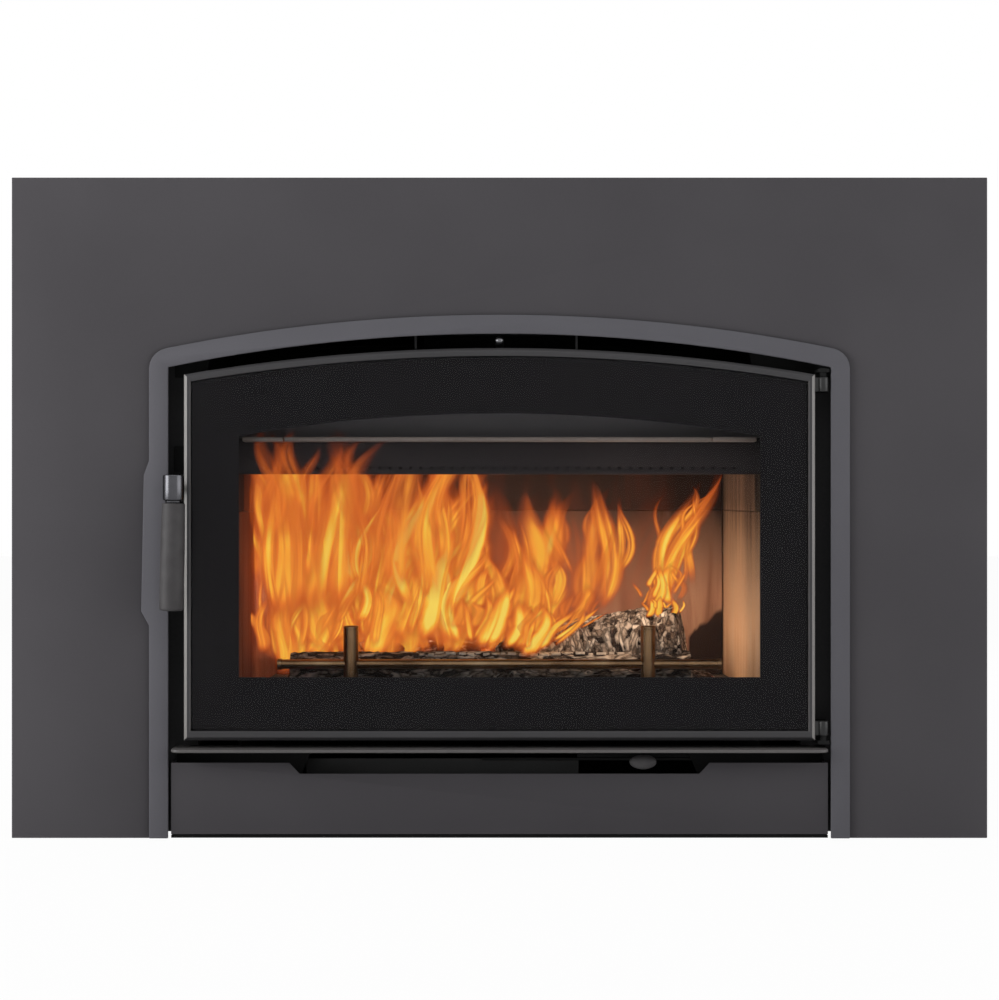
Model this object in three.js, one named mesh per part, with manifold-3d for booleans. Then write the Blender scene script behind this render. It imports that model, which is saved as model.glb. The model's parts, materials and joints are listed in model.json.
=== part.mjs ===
// Wood-burning fireplace insert: steel surround, hinged glass door, brick-lined firebox and blower.
// Millimetres, +Z up. The front faces -Y and the insert goes back into the fireplace along +Y.
// The origin is on the resting face, at the middle of the width, on the plane of the wall.
import * as THREE from 'three';
import { mergeVertices } from 'three/addons/utils/BufferGeometryUtils.js';
import Module from 'manifold-3d';

const wasm = await Module();
wasm.setup();

// ---- Driving dimensions ----
const seat = 0.3; // clearance between two pieces that rest on each other
const through = 5; // how far a cutting tool runs past the face that it cuts
const arcSteps = 28; // steps along each flat arch
const cornerSteps = 5; // steps round each small corner

const surround = { width: 1118, height: 757, frontY: -22, sheet: 2, returnDepth: 20, trimOverlap: 10 };
const opening = { halfWidth: 379.4, crownZ: 577.8, radius: 1895 };
const trim = { band: 21.8, thickness: 3.7, cornerRadius: 24 };
const swelling = { lowZ: 244, highZ: 432, depthLow: 9, depthHigh: 6, slope: 16 };

const doorGap = { side: 18.4, top: 16.4 }; // between the door and the opening in the surround
const door = { bottomZ: 112.4, radius: 2164, frontY: -30, depth: 30, chamfer: 3.6 };
const frameStrip = { side: 7.6, top: 9.3, bottom: 10.9 };
const frameWeb = { frontGap: 11.3, thickness: 6, wall: 4, flangeFrom: 25, flangeWall: 3, windowMargin: 8 };
const glass = { setBack: 2, thickness: 5, edgeGap: 0.8 };
const border = { side: 62.3, top: 74.9, bottom: 71.9, radius: 1742, thickness: 0.8 };
const glassSeal = { width: 14 };
const rope = { inset: 5, width: 14 };

const doorHinge = { inset: 8.6, y: -22, pinRadius: 4, eyeRadius: 6.3, eyeHeight: 16, armThickness: 6 };
const hingeEyes = { lowGap: 5.6, highGap: 19.4 }; // from the door's lower edge, and from its upper corner
const hingePlate = { left: 6, right: 6.6, front: 5, thickness: 4, gap: 6, pinProud: 1, tab: 3 };

const latch = { inset: 8.4, z: 401.5, shaftRadius: 5, bossRadius: 7.4, bossLength: 20 };
const cam = { length: 13, width: 9, thickness: 4, y: 1.5 };
const catchPiece = { gap: 1, width: 12, thickness: 4, height: 34 };
const handle = { y: -58, offset: 2.2, ferruleRadius: 12.1, ferruleHeight: 28.6 };
const neck = { radius: 9.4, height: 3.5 };
const stud = { radius: 4, length: 32 };
const grip = { radiusTop: 13, radiusBottom: 13.6, length: 121, lean: 2.6, sides: 20 };

const frontPlate = { y: 6, thickness: 5, inset: 4, mouthMargin: 4.3, mouthDrop: 10, mouthTopGap: 12 };
const firebox = { mouthStep: 32, backY: 390.3, floorRise: 12.6, plate: 5, legInset: 35, legWall: 3 };
const jacket = { sideChannel: 17, topChannel: 70, topRise: 12.2, backY: 412, sheet: 2, flangeReach: 16.6 };
const backSeam = { reach: 14 }; // how far the back's upper edge is folded in under the top
const basePan = { thickness: 3, toeDepth: 26, toeInset: 2.8 };
const flue = { y: 250, radius: 75, wall: 3, rise: 75, holeGap: 3, flange: 2 };
const damperBox = { halfWidth: 92, frontY: 160, backY: 338, wall: 4 };
const ledge = { depth: 8, thickness: 4, rise: 28 };
const damper = { plate: 3, length: 95, tab: 4 };
const damperRod = { radius: 4.6, rise: 9.3, tipY: -14, tipRadius: 5.3 };

const brick = { mouthGap: 1, taper: 12, frontY: 20, thickBack: 32, floor: 30, courseZ: 374, topZ: 430 };
const backSeams = { lowerX: -16, upperX: -81 };
const baffle = { frontY: 96, thickness: 14 };
const manifold = { frontY: 38, depth: 20, lowZ: 417.6, highZ: 455, wall: 3 };
const airHoles = { radius: 2, pitch: 12.2, rise: 7.2, count: 46 };
const lip = { frontY: 16, thickness: 5.4, endGap: 3.3, splitLeft: -251, splitRight: 247, split: 1.4 };
const andiron = { y: 70, postX: 175.8, postRadius: 9, postHeight: 78 };
const andironBar = { radius: 5.7, rise: 32.6, half: 263 };

const shelf = { sideGap: 4.6, lowZ: 99.8, thickness: 3.6, frontY: -46, cornerRadius: 12 };
const apron = { sideGap: 3.2, lowZ: 4.6, highZ: 86.5, frontY: -24, sheet: 2, notch: 12.6 };
const notch = { topHalf: 240.7, lowHalf: 229 };
const slotPlate = { sheet: 2, topHalf: 215, lowHalf: 231, lowZ: 60, slotZ: 66 };
const cornerPlate = { sheet: 2, slant: 9, above: 1.5, outerGap: 3.4 };
const cornerReach = { left: 18, right: 64 }; // how far each corner plate runs in over the front plate
const outletTab = { leftX: -96.7, rightX: 89, width: 2.4, depth: 10 };
const blower = { lowX: -225, highX: 92, frontY: 18, depth: 86, highZ: 87, wall: 1.5 };
const intake = { lowZ: 20, highZ: 44, margin: 12 };
const wheel = { radius: 27, bladeDepth: 6, blades: 14, gap: 3 };
const motor = { length: 58, radius: 24, shaftRadius: 4, studReach: 20 };
const airControl = { x: 164.6, z: 87, knobHalfWidth: 15.5, knobHalfHeight: 8.5, knobDepth: 7, knobY: -20 };
const airStem = { z: 91, radius: 2 };
const airStrip = { length: 150, height: 4, depth: 5, ledge: 3, ledgeX: -20 };
const inlet = { y: 330, z: 60, width: 28, height: 24, depth: 12, wall: 3 };

// ---- Places worked out from the driving dimensions ----
const surroundBackY = surround.frontY + surround.sheet;
const wallY = surroundBackY + surround.returnDepth;
const doorBackY = door.frontY + door.depth;
const flangeFrontY = frontPlate.y + frontPlate.thickness; // where pieces fixed on the jacket flange end
const flangeY = flangeFrontY + seat;
const onPanZ = basePan.thickness + seat;

const openingArch = { ...opening, bottomZ: 0 };
const doorArch = {
  halfWidth: opening.halfWidth - doorGap.side,
  bottomZ: door.bottomZ,
  crownZ: opening.crownZ - doorGap.top,
  radius: door.radius,
};
const clearWindow = {
  halfWidth: doorArch.halfWidth - border.side,
  bottomZ: doorArch.bottomZ + border.bottom,
  crownZ: doorArch.crownZ - border.top,
  radius: border.radius,
};

const mouthHalf = clearWindow.halfWidth + frontPlate.mouthMargin;
const fireboxHalf = mouthHalf + firebox.mouthStep;
const fireboxIn = fireboxHalf - firebox.plate;
const fireboxFloorZ = doorArch.bottomZ + firebox.floorRise;
const jacketHalf = fireboxHalf + jacket.sideChannel;
const jacketTopZ = opening.crownZ + jacket.topRise;
const fireboxTopZ = jacketTopZ - jacket.topChannel;
const fireboxTopLowZ = fireboxTopZ - firebox.plate;
const onFireboxFloorZ = fireboxFloorZ + firebox.plate + seat;
const flangeHalf = opening.halfWidth + jacket.flangeReach;
const flueTopZ = jacketTopZ + flue.rise;
const brickFloorZ = onFireboxFloorZ + brick.floor;
const standZ = brickFloorZ + seat; // where the andiron, the logs and the side bricks stand

const hingeX = opening.halfWidth - doorHinge.inset;
const archZ = (arch, x) => arch.crownZ - arch.radius + Math.sqrt(arch.radius ** 2 - x ** 2);
const doorCornerZ = archZ(doorArch, doorArch.halfWidth);
const eyeLowZ = doorArch.bottomZ + hingeEyes.lowGap;
const eyeHighZ = doorCornerZ - hingeEyes.highGap;
const latchX = latch.inset - opening.halfWidth;
const handleX = latchX + handle.offset;
const shelfHalf = opening.halfWidth - shelf.sideGap;
const apronHalf = opening.halfWidth - apron.sideGap;
const rodZ = doorArch.crownZ + damperRod.rise;
const ledgeLowZ = fireboxTopZ + ledge.rise;
const linerFront = mouthHalf - brick.mouthGap;
const linerBack = linerFront - brick.taper;
const lipHalf = linerFront - lip.endGap;
const holesZ = manifold.lowZ + airHoles.rise;
const barZ = standZ + andironBar.rise;
const blowerBackY = blower.frontY + blower.depth;
const wheelY = (blower.frontY + blowerBackY) / 2;
const wheelZ = (onPanZ + blower.highZ) / 2;

// ---- Materials, by the finish of each piece ----
const finish = (color, roughness, metalness) =>
  new THREE.MeshStandardMaterial({ color, roughness, metalness });
const greySteel = finish(0x4d4b4e, 0.75, 0.1);
const trimSteel = finish(0x5b5a5f, 0.7, 0.1);
const doorSteel = finish(0x3c3b3d, 0.6, 0.2);
const apronSteel = finish(0x403e41, 0.7, 0.1);
const blackSteel = finish(0x1a1a1a, 0.8, 0.2);
const bareSteel = finish(0x6a6a6c, 0.45, 0.9);
const bronzeSteel = finish(0x826957, 0.35, 0.9);
const ceramicGlass = new THREE.MeshStandardMaterial({
  color: 0x222222,
  roughness: 0.05,
  transparent: true,
  opacity: 0.3,
});
const printedBlack = finish(0x1d1b1e, 0.3, 0);
const sealRope = finish(0x55524c, 0.95, 0);
const gripBlack = finish(0x434143, 0.7, 0);
const fireclay = finish(0x9e765a, 0.9, 0);
const ceramicBoard = finish(0x6b5f55, 0.95, 0);
const bark = finish(0x4a3a2e, 0.95, 0);

// ---- Solids ----
function toSolid(geometry) {
  const bare = new THREE.BufferGeometry();
  bare.setAttribute('position', geometry.getAttribute('position'));
  if (geometry.index) bare.setIndex(geometry.index);
  const merged = mergeVertices(bare, 1e-4);
  return new wasm.Manifold(new wasm.Mesh({
    numProp: 3,
    vertProperties: new Float32Array(merged.getAttribute('position').array),
    triVerts: new Uint32Array(merged.index.array),
  }));
}

function toGeometry(solid) {
  const mesh = solid.getMesh();
  const geometry = new THREE.BufferGeometry();
  geometry.setAttribute('position', new THREE.BufferAttribute(new Float32Array(mesh.vertProperties), 3));
  geometry.setIndex(new THREE.BufferAttribute(new Uint32Array(mesh.triVerts), 1));
  return geometry;
}

const join = (...solids) => solids.reduce((a, b) => a.add(b));
const cut = (solid, ...tools) => tools.reduce((a, b) => a.subtract(b), solid);

function box([x0, x1], [y0, y1], [z0, z1]) {
  const geometry = new THREE.BoxGeometry(x1 - x0, y1 - y0, z1 - z0);
  geometry.translate((x0 + x1) / 2, (y0 + y1) / 2, (z0 + z1) / 2);
  return toSolid(geometry);
}

function extrude(outline, length, holes = []) {
  const shape = new THREE.Shape(outline.map(([a, b]) => new THREE.Vector2(a, b)));
  holes.forEach((hole) => shape.holes.push(new THREE.Path(hole.map(([a, b]) => new THREE.Vector2(a, b)))));
  return new THREE.ExtrudeGeometry(shape, { depth: length, bevelEnabled: false });
}

// A plate whose outline lies in X and Z, from y0 back to y1.
function plateXZ(outline, [y0, y1], holes) {
  const geometry = extrude(outline, y1 - y0, holes);
  geometry.rotateX(Math.PI / 2);
  geometry.translate(0, y1, 0);
  return toSolid(geometry);
}

// A plate whose outline lies in X and Y, from z0 up to z1.
function plateXY(outline, [z0, z1], holes) {
  const geometry = extrude(outline, z1 - z0, holes);
  geometry.translate(0, 0, z0);
  return toSolid(geometry);
}

// A bar whose section lies in Y and Z, from x0 to x1.
function barX(outline, [x0, x1]) {
  const geometry = extrude(outline, x1 - x0);
  const turn = new THREE.Matrix4().makeBasis(
    new THREE.Vector3(0, 1, 0),
    new THREE.Vector3(0, 0, 1),
    new THREE.Vector3(1, 0, 0),
  );
  geometry.applyMatrix4(turn);
  geometry.translate(x0, 0, 0);
  return toSolid(geometry);
}

// A round rod between two points.
function rod(from, to, radius, sides = 16, radiusTo = radius) {
  const start = new THREE.Vector3(...from);
  const way = new THREE.Vector3(...to).sub(start);
  const geometry = new THREE.CylinderGeometry(radiusTo, radius, way.length(), sides);
  geometry.translate(0, way.length() / 2, 0);
  geometry.applyQuaternion(new THREE.Quaternion().setFromUnitVectors(
    new THREE.Vector3(0, 1, 0),
    way.clone().normalize(),
  ));
  geometry.translate(start.x, start.y, start.z);
  return toSolid(geometry);
}

// ---- Arched outlines ----
const insetArch = (arch, side, top = side, bottom = side) => ({
  halfWidth: arch.halfWidth - side,
  crownZ: arch.crownZ - top,
  radius: arch.radius - top,
  bottomZ: arch.bottomZ + bottom,
});

// Points of the arched top from right to left, with its corners rounded.
function archTop(arch, cornerRadius = 0) {
  const centreZ = arch.crownZ - arch.radius;
  const cornerX = arch.halfWidth - cornerRadius;
  const cornerZ = centreZ + Math.sqrt((arch.radius - cornerRadius) ** 2 - cornerX ** 2);
  const lean = Math.atan2(cornerZ - centreZ, cornerX);
  const right = [];
  if (cornerRadius > 0) {
    for (let i = 0; i < cornerSteps; i += 1) {
      const angle = (lean * i) / cornerSteps;
      right.push([cornerX + cornerRadius * Math.cos(angle), cornerZ + cornerRadius * Math.sin(angle)]);
    }
  }
  const arc = [];
  for (let i = 0; i <= arcSteps; i += 1) {
    const angle = lean + ((Math.PI - 2 * lean) * i) / arcSteps;
    arc.push([arch.radius * Math.cos(angle), centreZ + arch.radius * Math.sin(angle)]);
  }
  const left = right.map(([x, z]) => [-x, z]).reverse();
  return [...right, ...arc, ...left];
}

const archOutline = (arch, cornerRadius) => [
  [-arch.halfWidth, arch.bottomZ],
  [arch.halfWidth, arch.bottomZ],
  ...archTop(arch, cornerRadius),
];

const insert = new THREE.Group();

function place(group, name, solid, material) {
  const mesh = new THREE.Mesh(toGeometry(solid), material);
  mesh.name = name;
  group.add(mesh);
  return mesh;
}

// ---- Surround and arch trim ----

// A frame with two legs, open at the bottom: an outer path from right to left, then the arch inside it.
const leggedOutline = (outerPath, inner) => [
  ...outerPath,
  [-inner.halfWidth, inner.bottomZ],
  ...archTop(inner).reverse(),
  [inner.halfWidth, inner.bottomZ],
];

function surroundPanel() {
  const half = surround.width / 2;
  const high = surround.height;
  const outer = [[half, 0], [half, high], [-half, high], [-half, 0]];
  const hole = insetArch(openingArch, -surround.trimOverlap, -surround.trimOverlap, 0);
  const face = plateXZ(leggedOutline(outer, hole), [surround.frontY, surroundBackY]);
  const depth = [surround.frontY, wallY];
  const leftReturn = box([-half, -half + surround.sheet], depth, [0, high]);
  const rightReturn = box([half - surround.sheet, half], depth, [0, high]);
  const topReturn = box([-half, half], depth, [high - surround.sheet, high]);
  return join(face, leftReturn, rightReturn, topReturn);
}

function archTrim() {
  const outer = insetArch(openingArch, -trim.band, -trim.band, 0);
  const half = outer.halfWidth;
  const bulge = [
    [-half, swelling.highZ],
    [-half - swelling.depthHigh, swelling.highZ - swelling.slope],
    [-half - swelling.depthLow, swelling.lowZ + swelling.slope],
    [-half, swelling.lowZ],
  ];
  const outerPath = [[half, 0], ...archTop(outer, trim.cornerRadius), ...bulge, [-half, 0]];
  const backY = surround.frontY - seat;
  return plateXZ(leggedOutline(outerPath, openingArch), [backY - trim.thickness, backY]);
}

place(insert, 'surround_panel', surroundPanel(), greySteel);
place(insert, 'arch_trim', archTrim(), trimSteel);

// ---- Jacket: the outer casing that guides the room air round the firebox ----
const mirrored = (side, inner, outer) => (side > 0 ? [inner, outer] : [-outer, -inner]);

function jacketSide(side) {
  const high = [onPanZ, jacketTopZ - seat];
  const wall = box(
    mirrored(side, jacketHalf - jacket.sheet, jacketHalf),
    [flangeY, jacket.backY - seat],
    high,
  );
  const flange = box(
    mirrored(side, jacketHalf - jacket.sheet, flangeHalf),
    [flangeY, flangeY + jacket.sheet],
    high,
  );
  const lipToSurround = box(
    mirrored(side, flangeHalf - jacket.sheet, flangeHalf),
    [surroundBackY + seat, flangeY + jacket.sheet],
    high,
  );
  return join(wall, flange, lipToSurround);
}

function jacketTop() {
  const plate = box(
    [-jacketHalf, jacketHalf],
    [surroundBackY + seat, jacket.backY + jacket.sheet],
    [jacketTopZ, jacketTopZ + jacket.sheet],
  );
  const tabs = [outletTab.leftX, outletTab.rightX].map((x) => box(
    [x - outletTab.width / 2, x + outletTab.width / 2],
    [frontPlate.y - outletTab.depth, frontPlate.y],
    [doorArch.crownZ, jacketTopZ + seat],
  ));
  const hole = rod(
    [0, flue.y, jacketTopZ - through],
    [0, flue.y, jacketTopZ + through],
    flue.radius + flue.wall + flue.holeGap,
    40,
  );
  return cut(join(plate, ...tabs), hole);
}

// The pan is as wide as the jacket, with a wider toe in front under the apron.
function basePanSolid() {
  const panZ = [0, basePan.thickness];
  const frontY = surroundBackY + seat;
  const toeHalf = opening.halfWidth - basePan.toeInset;
  const pan = box([-jacketHalf, jacketHalf], [frontY, jacket.backY + jacket.sheet], panZ);
  return join(pan, box([-toeHalf, toeHalf], [frontY, frontY + basePan.toeDepth], panZ));
}

// The back sheet, its upper edge folded in under the top.
function jacketBack() {
  const highZ = jacketTopZ - seat;
  const foldHalf = jacketHalf - jacket.sheet - seat;
  const sheet = box([-jacketHalf, jacketHalf], [jacket.backY, jacket.backY + jacket.sheet], [onPanZ, highZ]);
  const fold = box(
    [-foldHalf, foldHalf],
    [jacket.backY - backSeam.reach, jacket.backY + jacket.sheet],
    [highZ - jacket.sheet, highZ],
  );
  return join(sheet, fold);
}

place(insert, 'base_pan', basePanSolid(), blackSteel);
place(insert, 'jacket_left', jacketSide(-1), blackSteel);
place(insert, 'jacket_right', jacketSide(1), blackSteel);
place(insert, 'jacket_back', jacketBack(), blackSteel);
place(insert, 'jacket_top', jacketTop(), blackSteel);

// ---- Firebox ----
const wallsZ = [onFireboxFloorZ, fireboxTopLowZ - seat];

function fireboxFloor() {
  const plate = box(
    [-fireboxHalf, fireboxHalf],
    [flangeY, firebox.backY],
    [fireboxFloorZ, fireboxFloorZ + firebox.plate],
  );
  const legs = [-1, 1].map((side) => box(
    mirrored(side, (fireboxHalf - firebox.legInset), (fireboxHalf - firebox.legInset) + firebox.legWall),
    [blower.frontY, firebox.backY - firebox.plate],
    [onPanZ, fireboxFloorZ + firebox.plate],
  ));
  return join(plate, ...legs);
}

function fireboxTop() {
  const plate = box(
    [-fireboxHalf, fireboxHalf],
    [flangeY, firebox.backY],
    [fireboxTopLowZ, fireboxTopZ],
  );
  const outlet = rod(
    [0, flue.y, fireboxTopLowZ - through],
    [0, flue.y, fireboxTopZ + through],
    flue.radius,
    40,
  );
  return cut(plate, outlet);
}

function sealingPlate() {
  const mouthLowZ = brickFloorZ - frontPlate.mouthDrop;
  const mouthHighZ = fireboxTopZ - frontPlate.mouthTopGap;
  const mouth = [
    [-mouthHalf, mouthLowZ],
    [mouthHalf, mouthLowZ],
    [mouthHalf, mouthHighZ],
    [-mouthHalf, mouthHighZ],
  ];
  const outline = archOutline(insetArch(doorArch, frontPlate.inset));
  return plateXZ(outline, [frontPlate.y, frontPlate.y + frontPlate.thickness], [mouth]);
}

const fireboxSide = (side) => box(
  mirrored(side, fireboxIn, fireboxHalf),
  [flangeY, firebox.backY - firebox.plate - seat],
  wallsZ,
);

place(insert, 'firebox_floor', fireboxFloor(), blackSteel);
place(insert, 'firebox_left', fireboxSide(-1), blackSteel);
place(insert, 'firebox_right', fireboxSide(1), blackSteel);
place(insert, 'firebox_back', box(
  [-fireboxHalf, fireboxHalf],
  [firebox.backY - firebox.plate, firebox.backY],
  wallsZ,
), blackSteel);
place(insert, 'firebox_top', fireboxTop(), blackSteel);
place(insert, 'front_plate', sealingPlate(), blackSteel);

// ---- Flue collar and the damper box under it ----
const damperBoxZ = [fireboxTopZ + seat, jacketTopZ - flue.flange - seat - seat];
const collarLowZ = damperBoxZ[1] + seat;

function flueCollar() {
  const flange = box(
    [-damperBox.halfWidth, damperBox.halfWidth],
    [damperBox.frontY, damperBox.backY],
    [collarLowZ, jacketTopZ - seat],
  );
  const tube = rod([0, flue.y, collarLowZ], [0, flue.y, flueTopZ], flue.radius + flue.wall, 40);
  const bore = rod([0, flue.y, collarLowZ - through], [0, flue.y, flueTopZ + through], flue.radius, 40);
  return cut(join(flange, tube), bore);
}

const damperRoom = {
  half: damperBox.halfWidth - damperBox.wall,
  frontY: damperBox.frontY + damperBox.wall,
  backY: damperBox.backY - damperBox.wall,
};
const damperPlateZ = ledgeLowZ + ledge.thickness + seat;

function damperCase() {
  const across = [-damperBox.halfWidth, damperBox.halfWidth];
  const block = box(across, [damperBox.frontY, damperBox.backY], damperBoxZ);
  const room = box(
    [-damperRoom.half, damperRoom.half],
    [damperRoom.frontY, damperRoom.backY],
    [damperBoxZ[0] - through, damperBoxZ[1] + through],
  );
  const ledges = [-1, 1].map((side) => box(
    mirrored(side, damperRoom.half - ledge.depth, damperRoom.half + damperBox.wall / 2),
    [damperRoom.frontY - damperBox.wall / 2, damperRoom.backY + damperBox.wall / 2],
    [ledgeLowZ, ledgeLowZ + ledge.thickness],
  ));
  const rodHole = rod(
    [0, damperBox.frontY - through, rodZ],
    [0, damperRoom.frontY + through, rodZ],
    damperRod.radius + 2 * seat,
  );
  return cut(join(cut(block, room), ...ledges), rodHole);
}

function damperSlide() {
  const backY = damperRoom.backY - 2 * seat;
  const frontY = backY - damper.length;
  const plate = box(
    [-damperRoom.half + 2 * seat, damperRoom.half - 2 * seat],
    [frontY, backY],
    [damperPlateZ, damperPlateZ + damper.plate],
  );
  const tab = box(
    [-damperRod.radius * 2, damperRod.radius * 2],
    [frontY, frontY + damper.tab],
    [damperPlateZ, rodZ + damperRod.radius],
  );
  const pull = rod([0, damperRod.tipY, rodZ], [0, frontY + damper.tab / 2, rodZ], damperRod.radius);
  const tip = new THREE.SphereGeometry(damperRod.tipRadius, 14, 10);
  tip.translate(0, damperRod.tipY, rodZ);
  return join(plate, tab, pull, toSolid(tip));
}

place(insert, 'flue_collar', flueCollar(), blackSteel);
place(insert, 'damper_box', damperCase(), blackSteel);
place(insert, 'damper_slide', damperSlide(), bareSteel);

// ---- Brick lining, baffle and air passages ----
const brickOut = fireboxIn - seat;
const brickBackY = firebox.backY - firebox.plate - seat;
const manifoldBackY = manifold.frontY + manifold.depth;
const linerTaper = (linerFront - linerBack) / (brickBackY - brick.frontY);
const linerHalfAt = (y) => linerFront - linerTaper * (y - brick.frontY);

function sideBrick(side, frontY, heights) {
  const outline = [
    [side * brickOut, frontY],
    [side * brickOut, brickBackY],
    [side * linerHalfAt(brickBackY), brickBackY],
    [side * linerHalfAt(frontY), frontY],
  ];
  return plateXY(outline, heights);
}

const lowerCourse = [standZ, brick.courseZ];
const upperCourse = [brick.courseZ + seat, brick.topZ];
const backHalf = linerHalfAt(brickBackY) - seat;
const backBrick = (x, z) => box(x, [brickBackY - brick.thickBack, brickBackY], z);
const seams = { lower: backSeams.lowerX - seat, upper: backSeams.upperX - seat };

place(insert, 'floor_brick', box(
  [-brickOut, brickOut],
  [brick.frontY, brickBackY],
  [fireboxFloorZ + firebox.plate + seat, brickFloorZ],
), fireclay);
place(insert, 'side_brick_left_lower', sideBrick(-1, brick.frontY, lowerCourse), fireclay);
place(insert, 'side_brick_right_lower', sideBrick(1, brick.frontY, lowerCourse), fireclay);
place(insert, 'side_brick_left_upper', sideBrick(-1, manifoldBackY + seat, upperCourse), fireclay);
place(insert, 'side_brick_right_upper', sideBrick(1, manifoldBackY + seat, upperCourse), fireclay);
place(insert, 'back_brick_lower_left', backBrick([-backHalf, seams.lower], lowerCourse), fireclay);
place(insert, 'back_brick_lower_right', backBrick([backSeams.lowerX, backHalf], lowerCourse), fireclay);
place(insert, 'back_brick_upper_left', backBrick([-backHalf, seams.upper], upperCourse), fireclay);
place(insert, 'back_brick_upper_right', backBrick([backSeams.upperX, backHalf], upperCourse), fireclay);
place(insert, 'baffle_board', box(
  [-brickOut, brickOut],
  [baffle.frontY, brickBackY],
  [brick.topZ + seat, brick.topZ + seat + baffle.thickness],
), ceramicBoard);

// A hollow box across the firebox with a row of holes, whose back wall runs up to the firebox top.
function airManifold() {
  const across = [-brickOut, brickOut];
  const tube = box(across, [manifold.frontY, manifoldBackY], [manifold.lowZ, manifold.highZ]);
  const backWall = box(across, [manifoldBackY - manifold.wall, manifoldBackY], [manifold.lowZ, wallsZ[1]]);
  const hollow = box(
    [-brickOut + manifold.wall, brickOut - manifold.wall],
    [manifold.frontY + manifold.wall, manifoldBackY - manifold.wall],
    [manifold.lowZ + manifold.wall, manifold.highZ - manifold.wall],
  );
  const drills = Array.from({ length: airHoles.count }, (_, i) => {
    const x = (i - (airHoles.count - 1) / 2) * airHoles.pitch;
    const drillY = [manifold.frontY - through, manifoldBackY - manifold.depth / 2];
    return rod([x, drillY[0], holesZ], [x, drillY[1], holesZ], airHoles.radius, 8);
  });
  return cut(join(tube, backWall), hollow, join(...drills));
}

const lipLength = (x) => box(
  x,
  [lip.frontY, manifoldBackY - manifold.wall - seat],
  [manifold.highZ + seat, manifold.highZ + seat + lip.thickness],
);

place(insert, 'air_manifold', airManifold(), blackSteel);
place(insert, 'airwash_lip_left', lipLength([-lipHalf, lip.splitLeft - lip.split / 2]), blackSteel);
place(insert, 'airwash_lip_centre', lipLength([
  lip.splitLeft + lip.split / 2,
  lip.splitRight - lip.split / 2,
]), blackSteel);
place(insert, 'airwash_lip_right', lipLength([lip.splitRight + lip.split / 2, lipHalf]), blackSteel);

// ---- Andiron ----
function andironPost(side) {
  const post = rod(
    [side * andiron.postX, andiron.y, standZ],
    [side * andiron.postX, andiron.y, standZ + andiron.postHeight],
    andiron.postRadius,
    20,
  );
  const reach = andiron.postRadius + through;
  const crossHole = rod(
    [side * andiron.postX - reach, andiron.y, barZ],
    [side * andiron.postX + reach, andiron.y, barZ],
    andironBar.radius + seat,
  );
  return cut(post, crossHole);
}

place(insert, 'andiron_post_left', andironPost(-1), bronzeSteel);
place(insert, 'andiron_post_right', andironPost(1), bronzeSteel);
place(insert, 'andiron_bar', rod(
  [-andironBar.half, andiron.y, barZ],
  [andironBar.half, andiron.y, barZ],
  andironBar.radius,
), bronzeSteel);

// ---- Logs: each lies on the floor brick or in a notch over the logs below it ----
const onFloor = (radius) => standZ + radius;
const logShapes = {
  log_front: { from: [-250, 106], to: [228, 104], radius: 22, endRadius: 24 },
  log_left: { from: [-238, 178], to: [-24, 172], radius: 33, endRadius: 36 },
  log_back: { from: [-205, 262], to: [218, 256], radius: 35, endRadius: 32 },
  log_right: { from: [-6, 158, 192], to: [229, 114, 233], radius: 30, endRadius: 29 },
  log_top: { from: [-214, 219, 241], to: [-32, 213, 242.5], radius: 29, endRadius: 27 },
};

function logRod({ from, to, radius, endRadius }, grow) {
  const start = [from[0], from[1], from[2] ?? onFloor(Math.max(radius, endRadius))];
  const end = [to[0], to[1], to[2] ?? start[2]];
  return rod(start, end, radius + grow, 14, endRadius + grow);
}

const logsBelow = [];
Object.entries(logShapes).forEach(([name, shape]) => {
  const log = cut(logRod(shape, 0), ...logsBelow.map((lower) => logRod(lower, seat)));
  place(insert, name, log, bark);
  logsBelow.push(shape);
});

// ---- Ash lip, apron and the slot for the room air and the air control ----
function hearthShelf() {
  const halfWidth = shelfHalf;
  const { frontY, cornerRadius } = shelf;
  const backY = flangeFrontY;
  const corner = Array.from({ length: cornerSteps + 1 }, (_, i) => {
    const angle = ((Math.PI / 2) * i) / cornerSteps;
    const reach = 1 - Math.cos(angle);
    return [halfWidth - cornerRadius * reach, frontY + cornerRadius * (1 - Math.sin(angle))];
  });
  const left = corner.map(([x, y]) => [-x, y]).reverse();
  const outline = [[halfWidth, backY], [-halfWidth, backY], ...left.reverse(), ...corner.reverse()];
  return plateXY(outline, [shelf.lowZ, shelf.lowZ + shelf.thickness]);
}

function apronPanel() {
  const half = apronHalf;
  const notchZ = apron.highZ - apron.notch;
  const face = plateXZ([
    [-half, apron.lowZ],
    [half, apron.lowZ],
    [half, apron.highZ],
    [notch.topHalf, apron.highZ],
    [notch.lowHalf, notchZ],
    [-notch.lowHalf, notchZ],
    [-notch.topHalf, apron.highZ],
    [-half, apron.highZ],
  ], [apron.frontY, apron.frontY + apron.sheet]);
  const ends = [-1, 1].map((side) => box(
    mirrored(side, half - apron.sheet, half),
    [apron.frontY, flangeFrontY],
    [apron.lowZ, apron.highZ],
  ));
  return join(face, ...ends);
}

const slotPlateBackY = flangeFrontY;
const slotPlateFrontY = slotPlateBackY - slotPlate.sheet;
const slotTopZ = shelf.lowZ - seat;
const stripLedgeTopZ = airStem.z - airStrip.height / 2 - seat;

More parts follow.
